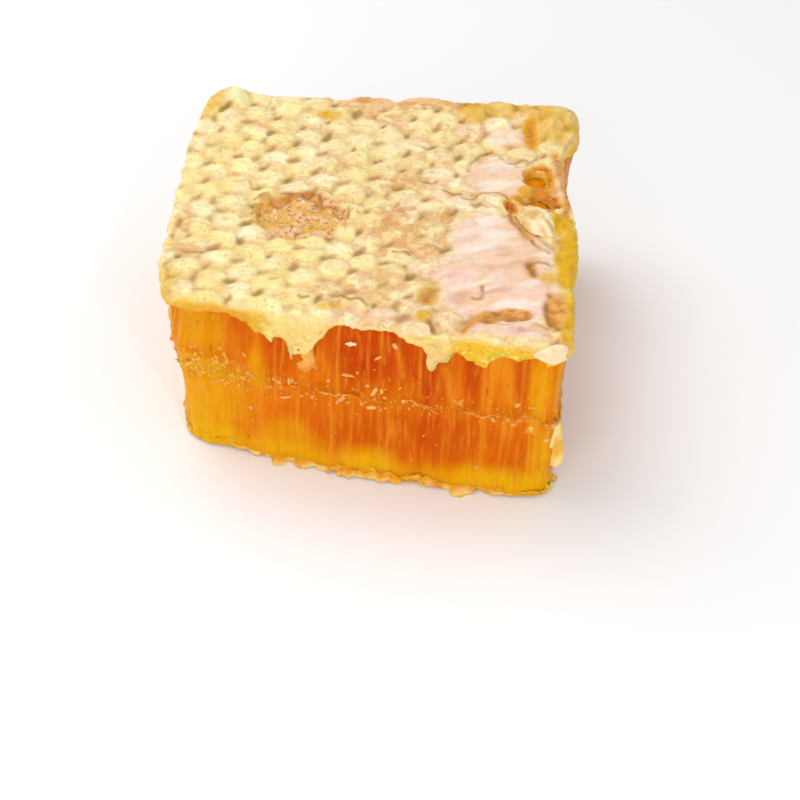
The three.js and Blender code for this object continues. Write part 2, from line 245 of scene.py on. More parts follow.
@dataclass(frozen=True)
class CellLattice:
    """Six-sided cells in columns that run from front to back."""

    pitch: float = 5.5
    start: float = 0.0

    def around(self, x: np.ndarray, y: np.ndarray) -> Nearby:
        """Measures some places against the lattice.

        Args:
            x: Places across the piece.
            y: Places from front to back.

        Returns:
            Distances and random values, one for each place.
        """
        step = self.pitch * math.sqrt(3) / 2
        middle = np.round((x - self.start) / step)
        reach, columns, rows = [], [], []
        for column in (middle - 1, middle, middle + 1):
            stagger = np.abs(column) % 2 * self.pitch / 2
            row = np.round((y - stagger) / self.pitch)
            for near in (row - 1, row, row + 1):
                columns.append(column * step + self.start)
                rows.append(near * self.pitch + stagger)
                reach.append(np.hypot(x - columns[-1], y - rows[-1]))
        stacked = np.stack(reach, axis=1)
        order = np.argsort(stacked, axis=1)
        each = np.arange(len(x))
        sorted_reach = np.take_along_axis(stacked, order, axis=1)
        centre_x = np.stack(columns, axis=1)[each, order[:, 0]]
        centre_y = np.stack(rows, axis=1)[each, order[:, 0]]
        sixth = np.round(np.arctan2(y - centre_y, x - centre_x) / (math.pi / 3))
        corner = self.pitch / math.sqrt(3)
        across = centre_x + corner * np.cos(sixth * math.pi / 3)
        deep = centre_y + corner * np.sin(sixth * math.pi / 3)
        luck = chance_of(np.round(across * 2), np.round(deep * 2))
        turn = 0.8 + (luck - 0.5) * 1.2
        u = (x - across) * np.cos(turn) + (y - deep) * np.sin(turn)
        v = (y - deep) * np.cos(turn) - (x - across) * np.sin(turn)
        size = 0.6 + 0.65 * chance_of(np.round(deep * 2), np.round(across * 2))
        even = np.abs(sixth) % 2 == 0
        depth = np.where(even, 0.15 + 0.85 * smooth(luck, 0.0, 0.6), 0.6 * smooth(luck, 0.66, 1.0))
        return Nearby(
            centre=sorted_reach[:, 0],
            wall=(sorted_reach[:, 1] - sorted_reach[:, 0]) / 2,
            junction=np.hypot(u / (1.12 * size), v / (0.56 * size)),
            depth=depth,
            cell=chance_of(np.round(centre_x * 3), np.round(centre_y * 3)),
            other=chance_of(np.round(centre_y * 3), np.round(centre_x * 3) + 7),
        )


@dataclass(frozen=True)
class Comb:
    """Heights of the layers, and the cells above and below the midrib."""

    upper: CellLattice = CellLattice()
    lower: CellLattice = CellLattice(start=5.5 / math.sqrt(3))
    capping: float = 29.7
    midrib: float = 16.8


COMB = Comb()


@dataclass(frozen=True)
class Blot:
    """An oval mark with a soft, ragged edge."""

    x: float
    y: float
    across: float
    deep: float
    strength: float = 1.0
    soft: float = 0.2
    turn: float = 0.0

    def rim(self, x: np.ndarray, y: np.ndarray) -> np.ndarray:
        """Measures how far out in the mark some places lie.

        Args:
            x: Places across the face.
            y: Places along it.

        Returns:
            0 at the middle of the mark and 1 at its rim, for each place.
        """
        angle = math.radians(self.turn)
        u = (x - self.x) * math.cos(angle) + (y - self.y) * math.sin(angle)
        v = (y - self.y) * math.cos(angle) - (x - self.x) * math.sin(angle)
        return np.hypot(u / self.across, v / self.deep)

    def mark(self, x: np.ndarray, y: np.ndarray, ragged: Union[float, np.ndarray] = 0.0) -> np.ndarray:
        """How strong the mark is at some places."""
        return self.strength * (1.0 - smooth(self.rim(x, y) + ragged, 1.0 - self.soft, 1.0 + self.soft))


@dataclass(frozen=True)
class Stroke:
    """A thin drawn line through some spots."""

    spots: tuple[Spot, ...]
    width: float = 0.35
    strength: float = 1.0

    def path(self) -> np.ndarray:
        """Draws a smooth curve through the spots.

        Returns:
            The spots with more between them, one a row.
        """
        ends = np.asarray(self.spots)
        padded = np.vstack([2 * ends[0] - ends[1], ends, 2 * ends[-1] - ends[-2]])
        drawn = []
        for k in range(len(ends) - 1):
            a, b, c, d = padded[k:k + 4]
            for t in np.linspace(0.0, 1.0, 6, endpoint=False):
                drawn.append(0.5 * (2 * b + (c - a) * t + (2 * a - 5 * b + 4 * c - d) * t**2
                                    + (3 * b - a - 3 * c + d) * t**3))
        return np.vstack([*drawn, ends[-1]])

    def away(self, x: np.ndarray, y: np.ndarray) -> np.ndarray:
        """Measures the distance from the line.

        Args:
            x: Places across the face.
            y: Places along it.

        Returns:
            One distance for each place.
        """
        path = self.path()
        best = np.full(len(x), FAR)
        for (ax, ay), (bx, by) in zip(path[:-1], path[1:]):
            run = max((bx - ax) ** 2 + (by - ay) ** 2, 1e-9)
            t = np.clip(((x - ax) * (bx - ax) + (y - ay) * (by - ay)) / run, 0.0, 1.0)
            best = np.minimum(best, np.hypot(x - ax - t * (bx - ax), y - ay - t * (by - ay)))
        return best

    def mark(self, x: np.ndarray, y: np.ndarray) -> np.ndarray:
        """How strong the line is at some places."""
        return self.strength * ridge(self.away(x, y), self.width)


def strongest(marks: Sequence[Union[Blot, Stroke]], x: np.ndarray, y: np.ndarray,
              ragged: Union[float, np.ndarray] = 0.0) -> np.ndarray:
    """Lays marks over one another, so that the strongest shows at each place.

    Args:
        marks: The marks.
        x: Places across the face.
        y: Places along it.
        ragged: How far the rims of oval marks are drawn in or out, in shares of the mark.

    Returns:
        A strength from 0 to 1 for each place.
    """
    best = np.zeros(len(x))
    for mark in marks:
        value = mark.mark(x, y, ragged) if isinstance(mark, Blot) else mark.mark(x, y)
        best = np.maximum(best, value)
    return best


# ---- Shader graphs -------------------------------------------------------------


Number = Union[int, float]


class Wire:
    """A socket of a shader graph. Arithmetic on wires adds Math nodes."""

    def __init__(self, graph: "Graph", socket: bpy.types.NodeSocket) -> None:
        """Keeps a socket and the graph that it belongs to."""
        self.graph = graph
        self.socket = socket

    def __add__(self, other: Union["Wire", Number]) -> "Wire":
        """Sum."""
        return self.graph.maths("ADD", self, other)

    __radd__ = __add__

    def __sub__(self, other: Union["Wire", Number]) -> "Wire":
        """Difference."""
        return self.graph.maths("SUBTRACT", self, other)

    def __rsub__(self, other: Number) -> "Wire":
        """Difference with a number first."""
        return self.graph.maths("SUBTRACT", other, self)

    def __mul__(self, other: Union["Wire", Number]) -> "Wire":
        """Product."""
        return self.graph.maths("MULTIPLY", self, other)

    __rmul__ = __mul__

    def eased(self, low: float, high: float) -> "Wire":
        """Eases this value.

        Args:
            low: Where the result is 0.
            high: Where it is 1.

        Returns:
            The eased value.
        """
        return self.graph.node(
            "ShaderNodeMapRange", {"interpolation_type": "SMOOTHSTEP"},
            {"Value": self, "From Min": low, "From Max": high},
        )

    def thread(self, middle: float, width: float) -> "Wire":
        """1 where this value passes a middle, for thin lines."""
        return self.eased(middle - width, middle) * self.eased(middle + width, middle)

    def clamped(self) -> "Wire":
        """Keeps this value from 0 to 1."""
        return self.graph.node("ShaderNodeClamp", {}, {"Value": self})


class Graph:
    """Builds the node tree of one material."""

    def __init__(self, material: bpy.types.Material) -> None:
        """Clears the material's tree and adds its output.

        Args:
            material: The material.
        """
        material.use_nodes = True
        self.tree = material.node_tree
        self.tree.nodes.clear()
        self.output = self.tree.nodes.new("ShaderNodeOutputMaterial")

    def node(self, kind: str, settings: dict, values: dict, output: Union[int, str] = 0) -> Wire:
        """Adds one node.

        Args:
            kind: The node's type.
            settings: Its own settings, such as an operation, set first.
            values: Values or wires for its sockets, by name or place.
            output: The socket that the wire starts from.

        Returns:
            A wire from that socket.
        """
        made = self.tree.nodes.new(kind)
        for name, value in settings.items():
            setattr(made, name, value)
        for key, value in values.items():
            socket = made.inputs[key]
            if isinstance(value, Wire):
                self.tree.links.new(value.socket, socket)
            elif isinstance(value, tuple) and len(value) == 3 and socket.type == "RGBA":
                socket.default_value = (*value, 1.0)
            else:
                socket.default_value = value
        return Wire(self, made.outputs[output])

    def maths(self, operation: str, first: Union[Wire, Number], second: Union[Wire, Number]) -> Wire:
        """Adds a Math node."""
        return self.node("ShaderNodeMath", {"operation": operation}, {0: first, 1: second})

    def mask(self, name: str) -> Wire:
        """Reads a mask that was painted on the mesh."""
        return self.node("ShaderNodeAttribute", {"attribute_name": name}, {}, "Fac")

    def noise(self, size: float, detail: float = 2.0, stretch: Sequence[float] = (1, 1, 1),
              shift: float = 0.0, warp: float = 0.0) -> Wire:
        """Adds noise from 0 to 1.

        Args:
            size: Length of a swing in millimetres.
            detail: How many finer octaves lie on top.
            stretch: How much longer a swing is along each axis.
            shift: Picks another part of the same noise.
            warp: How much the noise bends itself.

        Returns:
            The noise.
        """
        spot = self.node("ShaderNodeTexCoord", {}, {}, "Object")
        scale = tuple(1.0 / (MM * value) for value in stretch)
        where = self.node("ShaderNodeMapping", {}, {
            "Vector": spot, "Scale": scale, "Location": (shift, shift, shift),
        })
        return self.node(
            "ShaderNodeTexNoise", {},
            {"Vector": where, "Scale": 1.0 / size, "Detail": detail, "Roughness": 0.55, "Distortion": warp},
        )

    def blend(self, factor: Wire, first: Union[Wire, Colour], second: Union[Wire, Colour]) -> Wire:
        """Mixes two colours."""
        return self.node("ShaderNodeMix", {"data_type": "RGBA"}, {0: factor, 6: first, 7: second}, 2)

    def coated(self, colour: Wire, coats: Sequence[tuple[Wire, Union[Wire, Colour]]]) -> Wire:
        """Lays coats over a colour, one after the other.

        Args:
            colour: The colour at the bottom.
            coats: How strong each coat is, from 0 to 1, and its colour.

        Returns:
            The colour on top.
        """
        for strength, coat in coats:
            colour = self.blend(strength, colour, coat)
        return colour

    def bump(self, height: Wire, depth: float, strength: float = 1.0, under: Optional[Wire] = None) -> Wire:
        """Turns a height into a normal.

        Args:
            height: The height, from 0 to 1.
            depth: How deep the relief is, in millimetres.
            strength: How much of it shows.
            under: Relief that this one lies on.

        Returns:
            The normal.
        """
        values: dict = {"Height": height, "Distance": depth * MM, "Strength": strength}
        if under is not None:
            values["Normal"] = under
        return self.node("ShaderNodeBump", {}, values)

    def surface(self, values: dict) -> None:
        """Ends the graph in a Principled shader with these socket values."""
        shader = self.node("ShaderNodeBsdfPrincipled", {"subsurface_method": "RANDOM_WALK"}, values)
        self.tree.links.new(shader.socket, self.output.inputs["Surface"])


# ---- Finishes --------------------------------------------------------------------


class Slot(Enum):
    """The record's material slots."""

    CAPPING = "capping_wax"
    HONEY = "comb_honey"
    MIDRIB = "midrib_wax"
    HEM = "hem_wax"


class CapNoise:
    """The noises that the colours of the caps share."""

    def __init__(self, graph: Graph) -> None:
        """Adds the noises.

        Args:
            graph: The graph of the caps' material.
        """
        self.patches = graph.noise(9.0, 2.0)
        self.blotch = graph.noise(2.4, 4.0, shift=5.0, warp=0.6)
        self.fine = graph.noise(0.8, 5.0, shift=9.0)
        self.speck = graph.noise(0.35, 3.0, shift=13.0)
        self.mottle = graph.noise(1.5, 6.0, stretch=(1.5, 1, 1), shift=21.0, warp=1.2)
        self.lines = graph.noise(3.4, 3.0, stretch=(1.5, 1, 1), shift=31.0, warp=1.6)


@dataclass(frozen=True)
class CappingWax:
    """Pale wax caps with dimples, a torn patch, wet patches and a honey-soaked rim, with painted olive shade
    in the dimples, painted shade along the creases and painted glare on the wet patches.
    """

    cream: Colour = srgb(250, 236, 184)
    butter: Colour = srgb(250, 234, 144)
    light: Colour = srgb(255, 251, 214)
    pink: Colour = srgb(242, 208, 180)
    between: Colour = srgb(232, 198, 140)
    # halo, dimple and dimple_tan are painted shade in and round the dimples where three cells meet; halo
    # also tints the random mottle.
    halo: Colour = srgb(208, 168, 100)
    dimple: Colour = srgb(160, 134, 74)
    dimple_tan: Colour = srgb(190, 142, 98)
    # crease is painted shade along the folds.
    crease: Colour = srgb(168, 112, 52)
    tan: Colour = srgb(222, 166, 104)
    torn_light: Colour = srgb(238, 196, 152)
    torn_gold: Colour = srgb(228, 180, 88)
    torn_dark: Colour = srgb(174, 112, 48)
    # The wet patches are honey-flooded wax; wet is painted glare on them, a pinkish white, and the shade and
    # white colours below are painted shade and painted highlight along their ripples.
    wet: Colour = srgb(245, 207, 192)
    wet_beige: Colour = srgb(240, 196, 136)
    wet_shade: Colour = srgb(206, 152, 128)
    wet_highlight: Colour = srgb(255, 238, 228)
    gold: Colour = srgb(224, 176, 12)
    olive: Colour = srgb(202, 152, 22)
    soaked: Colour = srgb(236, 190, 40)
    amber: Colour = srgb(214, 124, 12)
    amber_deep: Colour = srgb(170, 70, 2)
    # brown paints the brown marks: most are stains, and the strokes along the right edge and beside the
    # curled flap are painted shade.
    brown: Colour = srgb(192, 128, 46)
    brown_light: Colour = srgb(230, 170, 90)
    ochre: Colour = srgb(228, 168, 36)

    def caps(self, graph: Graph, noise: CapNoise) -> Wire:
        """Colours the dry caps, from the broad patches down to the dimples, whose painted shade lies on top.

        Args:
            graph: The material's graph.
            noise: Its noises.

        Returns:
            The colour.
        """
        mask = graph.mask
        butter = (noise.patches.eased(0.38, 0.62) * 0.6 + mask("butter")).clamped()
        between = (1.0 - mask("disc") + (noise.blotch - 0.5) * 1.2).clamped()
        wrinkle = noise.lines.thread(0.5, 0.02) * noise.blotch.eased(0.42, 0.54)
        dimple = graph.blend(noise.patches.eased(0.44, 0.58), self.dimple, self.dimple_tan)
        return graph.coated(graph.blend(butter, self.cream, self.butter), [
            ((mask("pink") * noise.blotch.eased(0.3, 0.6)).clamped(), self.pink),
            (graph.noise(6.0, 3.0, shift=51.0).eased(0.52, 0.66) * 0.6, self.light),
            (between * 0.6, self.between),
            ((mask("disc") * noise.fine.eased(0.36, 0.62)).clamped() * 0.6, self.light),
            (noise.mottle.eased(0.52, 0.66) * 0.28, self.halo),
            ((mask("tan") * (noise.blotch.eased(0.34, 0.66) * 0.9 + 0.1)).clamped(), self.tan),
            # Painted shade round the dimples and along the seams between caps.
            ((mask("halo") * (0.4 + 0.8 * noise.fine)).clamped(), self.halo),
            (wrinkle * 0.6, self.dimple_tan),
            # Painted shade in the dimples.
            ((mask("dimple") * (0.5 + 0.8 * noise.speck)).clamped(), dimple),
        ])

    def torn_patch(self, graph: Graph, noise: CapNoise) -> Wire:
        """Colours the floor of the torn patch."""
        torn = graph.blend(noise.blotch.eased(0.4, 0.6), self.torn_light, self.torn_gold)
        return graph.blend((noise.fine.eased(0.5, 0.64) * 0.8).clamped(), torn, self.torn_dark)

    def wet_patch(self, graph: Graph, noise: CapNoise) -> Wire:
        """Colours the smooth wet patches with painted glare, a pinkish white, and painted shade and painted
        highlight in streaks along their ripples.

        Args:
            graph: The material's graph.
            noise: Its noises.

        Returns:
            The colour.
        """
        beige = noise.patches.eased(0.4, 0.6) * 0.4 + noise.blotch.eased(0.42, 0.64) * 0.4
        streak = graph.mask("streak")
        return graph.coated(graph.blend(beige, self.wet, self.wet_beige), [
            # Painted shade where the ripples rise and painted highlight where they sink.
            (streak.eased(0.55, 0.9) * 0.55, self.wet_shade),
            (streak.eased(0.5, 0.15) * 0.8, self.wet_highlight),
        ])

    def colour(self, graph: Graph, noise: CapNoise) -> Wire:
        """Colours the whole capping: the dry caps with everything that lies over them.

        Args:
            graph: The material's graph.
            noise: Its noises.

        Returns:
            The colour.
        """
        mask, blotch, fine = graph.mask, noise.blotch, noise.fine
        gold = graph.blend(blotch.eased(0.5, 0.7) * 0.7, self.gold, self.olive)
        soaked = graph.blend(fine.eased(0.5, 0.3) * 0.7, self.soaked, self.butter)
        brown = graph.blend(blotch.eased(0.36, 0.6), self.brown, self.brown_light)
        honey = graph.blend(fine.eased(0.35, 0.6), self.amber_deep, self.amber)
        return graph.coated(self.caps(graph, noise), [
            (mask("torn"), self.torn_patch(graph, noise)),
            # The wet patches in painted glare.
            (mask("wet") * 0.9, self.wet_patch(graph, noise)),
            ((mask("gold") * (0.35 + 0.95 * blotch + 0.4 * noise.patches)).clamped(), gold),
            ((mask("soaked") * (0.75 + 0.9 * blotch)).clamped(), soaked),
            ((mask("soaked") * noise.mottle.eased(0.54, 0.7) * 0.6).clamped(), self.brown),
            # Brown stains, with painted shade where brown strokes follow an edge.
            ((mask("brown") * (0.8 + 0.9 * fine)).clamped(), brown),
            # Painted shade along the folds.
            ((mask("crease") * (0.5 + 0.8 * noise.speck)).clamped(), self.crease),
            (mask("honey").eased(0.0, 0.4), self.ochre),
            (mask("honey").eased(0.35, 0.85), honey),
        ])

    def material(self) -> bpy.types.Material:
        """Builds the material.

        Returns:
            The material.
        """
        made = bpy.data.materials.new("capping_wax")
        graph = Graph(made)
        noise, mask = CapNoise(graph), graph.mask
        shine = mask("wet") * 0.24 + mask("honey") * 0.34 + mask("gold") * 0.16
        shade = (1.0 - mask("crease") - mask("brown")).clamped()
        grain = graph.bump(graph.noise(0.5, 6.0, shift=3.0), 0.12, 0.8)
        graph.surface({
            "Base Color": self.colour(graph, noise),
            "Roughness": (0.5 + 0.14 * noise.fine - shine).clamped(),
            "Normal": graph.bump(graph.noise(1.3, 4.0, shift=43.0, warp=0.8), 0.22, 0.6, grain),
            "Subsurface Weight": 1.0,
            "Subsurface Radius": (1.0, 0.6, 0.26),
            "Subsurface Scale": 0.26 * MM,
            "Specular IOR Level": 0.22,
            "Coat Weight": (mask("wet") * shade * 0.45 + mask("honey") * 0.2).clamped(),
            "Coat Roughness": 0.12,
        })
        return made


@dataclass(frozen=True)
class CombHoney:
    """Amber honey behind thin wax walls, redder in the middle and golden at the ends, where the gold is
    painted glow of light through the thin honey.
    """

    deep: Colour = srgb(196, 62, 0)
    amber: Colour = srgb(222, 112, 2)
    gold: Colour = srgb(232, 174, 6)
    wall: Colour = srgb(236, 156, 32)
    light: Colour = srgb(240, 168, 42)
    pale: Colour = srgb(252, 216, 130)

    def material(self) -> bpy.types.Material:
        """Builds the material, its noises drawn out along the cells.

        Returns:
            The material.
        """
        made = bpy.data.materials.new("comb_honey")
        graph = Graph(made)
        mask = graph.mask
        drift = graph.noise(9.0, 2.0, stretch=(1, 1, 1.6))
        streak = graph.noise(1.7, 3.0, stretch=(1, 1, 9), shift=4.0)
        thread = graph.noise(0.5, 3.0, stretch=(1, 1, 16), shift=14.0, warp=0.15)
        fine = graph.noise(0.7, 4.0, stretch=(1, 1, 2.5), shift=7.0)
        cloud = graph.noise(2.4, 4.0, shift=19.0, warp=0.7)
        # deep also carries the painted shade low on the front.
        depth = mask("deep") + (drift - 0.5) * 0.9 + (cloud - 0.5) * 0.7
        # gold carries the painted glow at the thin edges, with random golden streaks.
        golden = mask("gold") + (streak - 0.5) * 0.7 + (cloud - 0.5) * 0.5
        colour = graph.coated(graph.blend(depth.clamped(), self.amber, self.deep), [
            (golden.clamped(), self.gold),
            (thread.eased(0.5, 0.72) * 0.36, self.light),
            (thread.eased(0.46, 0.3) * 0.26, self.deep),
            ((mask("wall") * (0.3 + 0.7 * fine)).clamped(), self.wall),
            ((mask("pale") * fine.eased(0.36, 0.6)).clamped(), self.pale),
        ])
        ripple = graph.bump(graph.noise(1.2, 4.0, stretch=(1, 1, 2.0), shift=2.0, warp=0.5), 0.3, 0.7)
        graph.surface({
            "Base Color": colour,
            "Roughness": (0.16 + 0.3 * mask("wall") + 0.3 * mask("pale") + 0.14 * fine).clamped(),
            "Normal": graph.bump(thread, 0.16, 0.7, ripple),
            "Subsurface Weight": 1.0,
            "Subsurface Radius": (1.0, 0.34, 0.05),
            "Subsurface Scale": 0.9 * MM,
            "Specular IOR Level": 0.04,
            "Coat Weight": 0.03,
            "Coat Roughness": 0.06,
        })
        return made


@dataclass(frozen=True)
class SoakedWax:
    """Honey-soaked wax, darker in blotches and pale where the edge mask is painted: a torn edge on most
    pieces, a painted highlight along the raised pleats on the flaps.
    """

    name: str
    light: Colour
    dark: Colour
    edge: Colour
    roughness: float
    depth: float    # how far light goes in, in millimetres

    def material(self) -> bpy.types.Material:
        """Builds the material.

        Returns:
            The material.
        """
        made = bpy.data.materials.new(self.name)
        graph = Graph(made)
        blotch = graph.noise(2.4, 4.0, warp=0.5)
        fine = graph.noise(0.6, 5.0, shift=6.0)
        colour = graph.blend(blotch.eased(0.38, 0.62), self.dark, self.light)
        colour = graph.blend((graph.mask("edge") * (0.35 + 0.8 * fine)).clamped(), colour, self.edge)
        graph.surface({
            "Base Color": colour,
            "Roughness": (self.roughness - 0.08 + 0.2 * fine).clamped(),
            "Normal": graph.bump(fine, 0.2, 0.6),
            "Subsurface Weight": 1.0,
            "Subsurface Radius": (1.0, 0.5, 0.14),
            "Subsurface Scale": self.depth * MM,
            "Specular IOR Level": 0.25,
            "Coat Weight": 0.06,
            "Coat Roughness": 0.12,
        })
        return made


class Wax(Enum):
    """The waxes of the midrib, the hem and the loose pieces: light, dark, torn edge (on the flaps a painted
    highlight along the pleats), gloss, depth.
    """

    MIDRIB = SoakedWax("midrib_wax", srgb(240, 154, 44), srgb(230, 128, 20), srgb(250, 200, 110), 0.4, 0.2)
    HEM = SoakedWax("hem_wax", srgb(242, 186, 44), srgb(234, 158, 24), srgb(255, 224, 140), 0.4, 0.08)
    BLOB = SoakedWax("blob_wax", srgb(250, 222, 180), srgb(244, 204, 150), srgb(255, 238, 208), 0.34, 0.15)
    FLAKE = SoakedWax("flake_wax", srgb(244, 186, 96), srgb(236, 156, 50), srgb(253, 220, 158), 0.35, 0.12)
    CRUMB = SoakedWax("crumb_wax", srgb(238, 198, 144), srgb(214, 162, 94), srgb(248, 218, 178), 0.6, 0.12)
    BROAD = SoakedWax("broad_flake_wax", srgb(240, 178, 84), srgb(228, 148, 52), srgb(248, 206, 130),
                      0.4, 0.12)
    GOLDEN = SoakedWax("golden_wax", srgb(246, 178, 54), srgb(236, 150, 30), srgb(252, 208, 112), 0.3, 0.04)
    WHITE_FLAP = SoakedWax("flap_wax", srgb(240, 208, 150), srgb(222, 178, 112), srgb(254, 236, 200),
                           0.42, 0.12)
    TAN_FLAP = SoakedWax("tan_flap_wax", srgb(230, 186, 126), srgb(212, 156, 92), srgb(240, 204, 156),
                         0.5, 0.4)
    SIDE_FLAP = SoakedWax("side_flap_wax", srgb(244, 204, 110), srgb(236, 180, 62), srgb(252, 226, 156),
                          0.45, 0.2)

    def material(self) -> bpy.types.Material:
        """Builds the material of this wax."""
        return self.value.material()


# ---- Hand tools ------------------------------------------------------------------


class Bench:
    """Blender's operators, each on one piece with nothing else selected."""

    @staticmethod
    def hold(piece: bpy.types.Object) -> None:
        """Selects one piece alone and makes it active.

        Args:
            piece: The piece.
        """
        bpy.ops.object.select_all(action="DESELECT")
        piece.select_set(True)
        bpy.context.view_layer.objects.active = piece

    @classmethod
    def cast(cls, solid: bpy.types.Object, name: str) -> bpy.types.Object:
        """Copies a solid of the frame into a free piece of one skin.

        Args:
            solid: The solid.
            name: The new piece's name.

        Returns:
            The new piece.
        """
        piece = bpy.data.objects.new(name, solid.data.copy())
        bpy.context.scene.collection.objects.link(piece)
        piece.data.name = name
        cls.hold(piece)
        bpy.ops.object.mode_set(mode="EDIT")
        bpy.ops.mesh.select_all(action="SELECT")
        bpy.ops.mesh.remove_doubles(threshold=1e-5)
        bpy.ops.object.mode_set(mode="OBJECT")
        return piece

    @classmethod
    def finish(cls, piece: bpy.types.Object, kind: str, **settings: object) -> None:
        """Adds a modifier and applies it.

        Args:
            piece: The piece, which is changed.
            kind: The modifier's type.
            settings: Its settings.
        """
        cls.hold(piece)
        modifier = piece.modifiers.new(kind.lower(), kind)
        for name, value in settings.items():
            setattr(modifier, name, value)
        bpy.ops.object.modifier_apply(modifier=modifier.name)

    @classmethod
    def remesh(cls, piece: bpy.types.Object, size: float) -> None:
        """Covers a piece with even small faces of a size in millimetres."""
        cls.finish(piece, "REMESH", mode="VOXEL", voxel_size=size * MM, adaptivity=0.0)

    @classmethod
    def pick(cls, piece: bpy.types.Object, chosen: np.ndarray) -> None:
        """Goes into edit mode with some points, and what lies between them, selected.

        Args:
            piece: The piece.
            chosen: For each point, whether it is one of them.
        """
        cls.hold(piece)
        bpy.ops.object.mode_set(mode="EDIT")
        bpy.ops.mesh.select_mode(type="VERT")
        bpy.ops.mesh.select_all(action="DESELECT")
        bpy.ops.object.mode_set(mode="OBJECT")
        piece.data.vertices.foreach_set("select", chosen)
        bpy.ops.object.mode_set(mode="EDIT")
        bpy.ops.mesh.select_mode(type="VERT")

    @classmethod
    def thin_out(cls, piece: bpy.types.Object, chosen: np.ndarray, keep: float) -> None:
        """Collapses points that nobody sees to a few.

        Args:
            piece: The piece, which is changed.
            chosen: For each point, whether it is one of them.
            keep: The share of them that stays.
        """
        cls.pick(piece, chosen)
        bpy.ops.mesh.decimate(ratio=keep)
        bpy.ops.object.mode_set(mode="OBJECT")

    @classmethod
    def grown(cls, piece: bpy.types.Object, chosen: np.ndarray) -> np.ndarray:
        """Adds their neighbours to some points.

        Args:
            piece: The piece.
            chosen: For each point, whether it is one of them.

        Returns:
            The same with the neighbours.
        """
        cls.pick(piece, chosen)
        bpy.ops.mesh.select_more(use_face_step=False)
        bpy.ops.object.mode_set(mode="OBJECT")
        reached = np.empty(len(piece.data.vertices), dtype=bool)
        piece.data.vertices.foreach_get("select", reached)
        return reached

    @classmethod
    def smooth_shaded(cls, piece: bpy.types.Object) -> None:
        """Shades a piece smooth."""
        cls.hold(piece)
        bpy.ops.object.shade_smooth()


class Skin:
    """The points and normals of a piece as arrays, in millimetres."""

    def __init__(self, piece: bpy.types.Object) -> None:
        """Reads the mesh.

        Args:
            piece: The piece.
        """
        self.mesh = piece.data
        count = len(self.mesh.vertices)
        flat = np.empty(count * 3, dtype=np.float32)
        self.mesh.vertices.foreach_get("co", flat)
        self.points = flat.reshape(-1, 3).astype(float) / MM
        self.mesh.vertex_normals.foreach_get("vector", flat)
        self.normals = flat.reshape(-1, 3).astype(float)

    @property
    def x(self) -> np.ndarray:
        """Places across the piece."""
        return self.points[:, 0]

    @property
    def y(self) -> np.ndarray:
        """Places from front to back."""
        return self.points[:, 1]

    @property
    def z(self) -> np.ndarray:
        """Heights."""
        return self.points[:, 2]

    def push(self, amount: np.ndarray) -> None:
        """Moves each point along its normal."""
        self.points += self.normals * amount[:, None]

    def write(self) -> None:
        """Puts the moved points back into the mesh."""
        self.mesh.vertices.foreach_set("co", (self.points * MM).astype(np.float32).ravel())
        self.mesh.update()

    def paint(self, **masks: np.ndarray) -> None:
        """Stores masks on the mesh.

        Args:
            masks: One value from 0 to 1 for each point, by the mask's name.
        """
        for name, values in masks.items():
            layer = self.mesh.attributes.new(name, "FLOAT", "POINT")
            layer.data.foreach_set("value", np.clip(values, 0.0, 1.0).astype(np.float32))

    def clearance(self, piece: bpy.types.Object, chosen: np.ndarray) -> np.ndarray:
        """Distance from the chosen points to another piece.

        Args:
            piece: The other piece.
            chosen: Which points are measured. The rest count as far away.

        Returns:
            One distance for each point, in millimetres.
        """
        tree = BVHTree.FromObject(piece, bpy.context.evaluated_depsgraph_get())
        away = np.full(len(self.points), FAR)
        for index in np.flatnonzero(chosen):
            away[index] = tree.find_nearest(Vector(self.points[index] * MM))[3] / MM
        return away

    def tuck(self, cover: bpy.types.Object, room: float) -> None:
        """Draws points that a cover ought to hide back under its outer face, and writes them.

        Args:
            cover: The piece that lies outside of them, beside or above.
            room: How far under its outer face they have to lie, in millimetres.
        """
        tree = BVHTree.FromObject(cover, bpy.context.evaluated_depsgraph_get())
        level = self.points * (1.0, 1.0, 0.0)
        level /= np.maximum(np.linalg.norm(level, axis=1), 1.0)[:, None]
        above = np.zeros_like(level) + (0.0, 0.0, 1.0)
        beside = np.abs(self.normals[:, 2]) < 0.9
        for outward, chosen in ((level, beside), (above, self.normals[:, 2] > 0.3)):
            for index in np.flatnonzero(chosen & (self.z > COMB.midrib)):
                start = Vector((self.points[index] + OUTSIDE * outward[index]) * MM)
                reach = tree.ray_cast(start, Vector(-outward[index]), (OUTSIDE + 2.0) * MM)[3]
                if reach is not None:
                    self.points[index] -= outward[index] * max(0.0, room - OUTSIDE + reach / MM)
        self.write()


def sit(piece: bpy.types.Object, material: bpy.types.Material, slot: Slot, *nodes: str) -> None:
    """Dresses a piece, fixes it to the body and hides the solids that it replaces.

    Args:
        piece: The finished piece.
        material: Its material.
        slot: The record's slot that the finish belongs to. Not used.
        nodes: Solids that the piece replaces.
    """
    Bench.smooth_shaded(piece)
    piece.data.materials.clear()
    piece.data.materials.append(material)
    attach(piece, BODY)
    if nodes:
        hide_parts(*nodes)
    LOG.info("%s: %d faces", piece.name, len(piece.data.polygons))


# ---- The layers -------------------------------------------------------------------


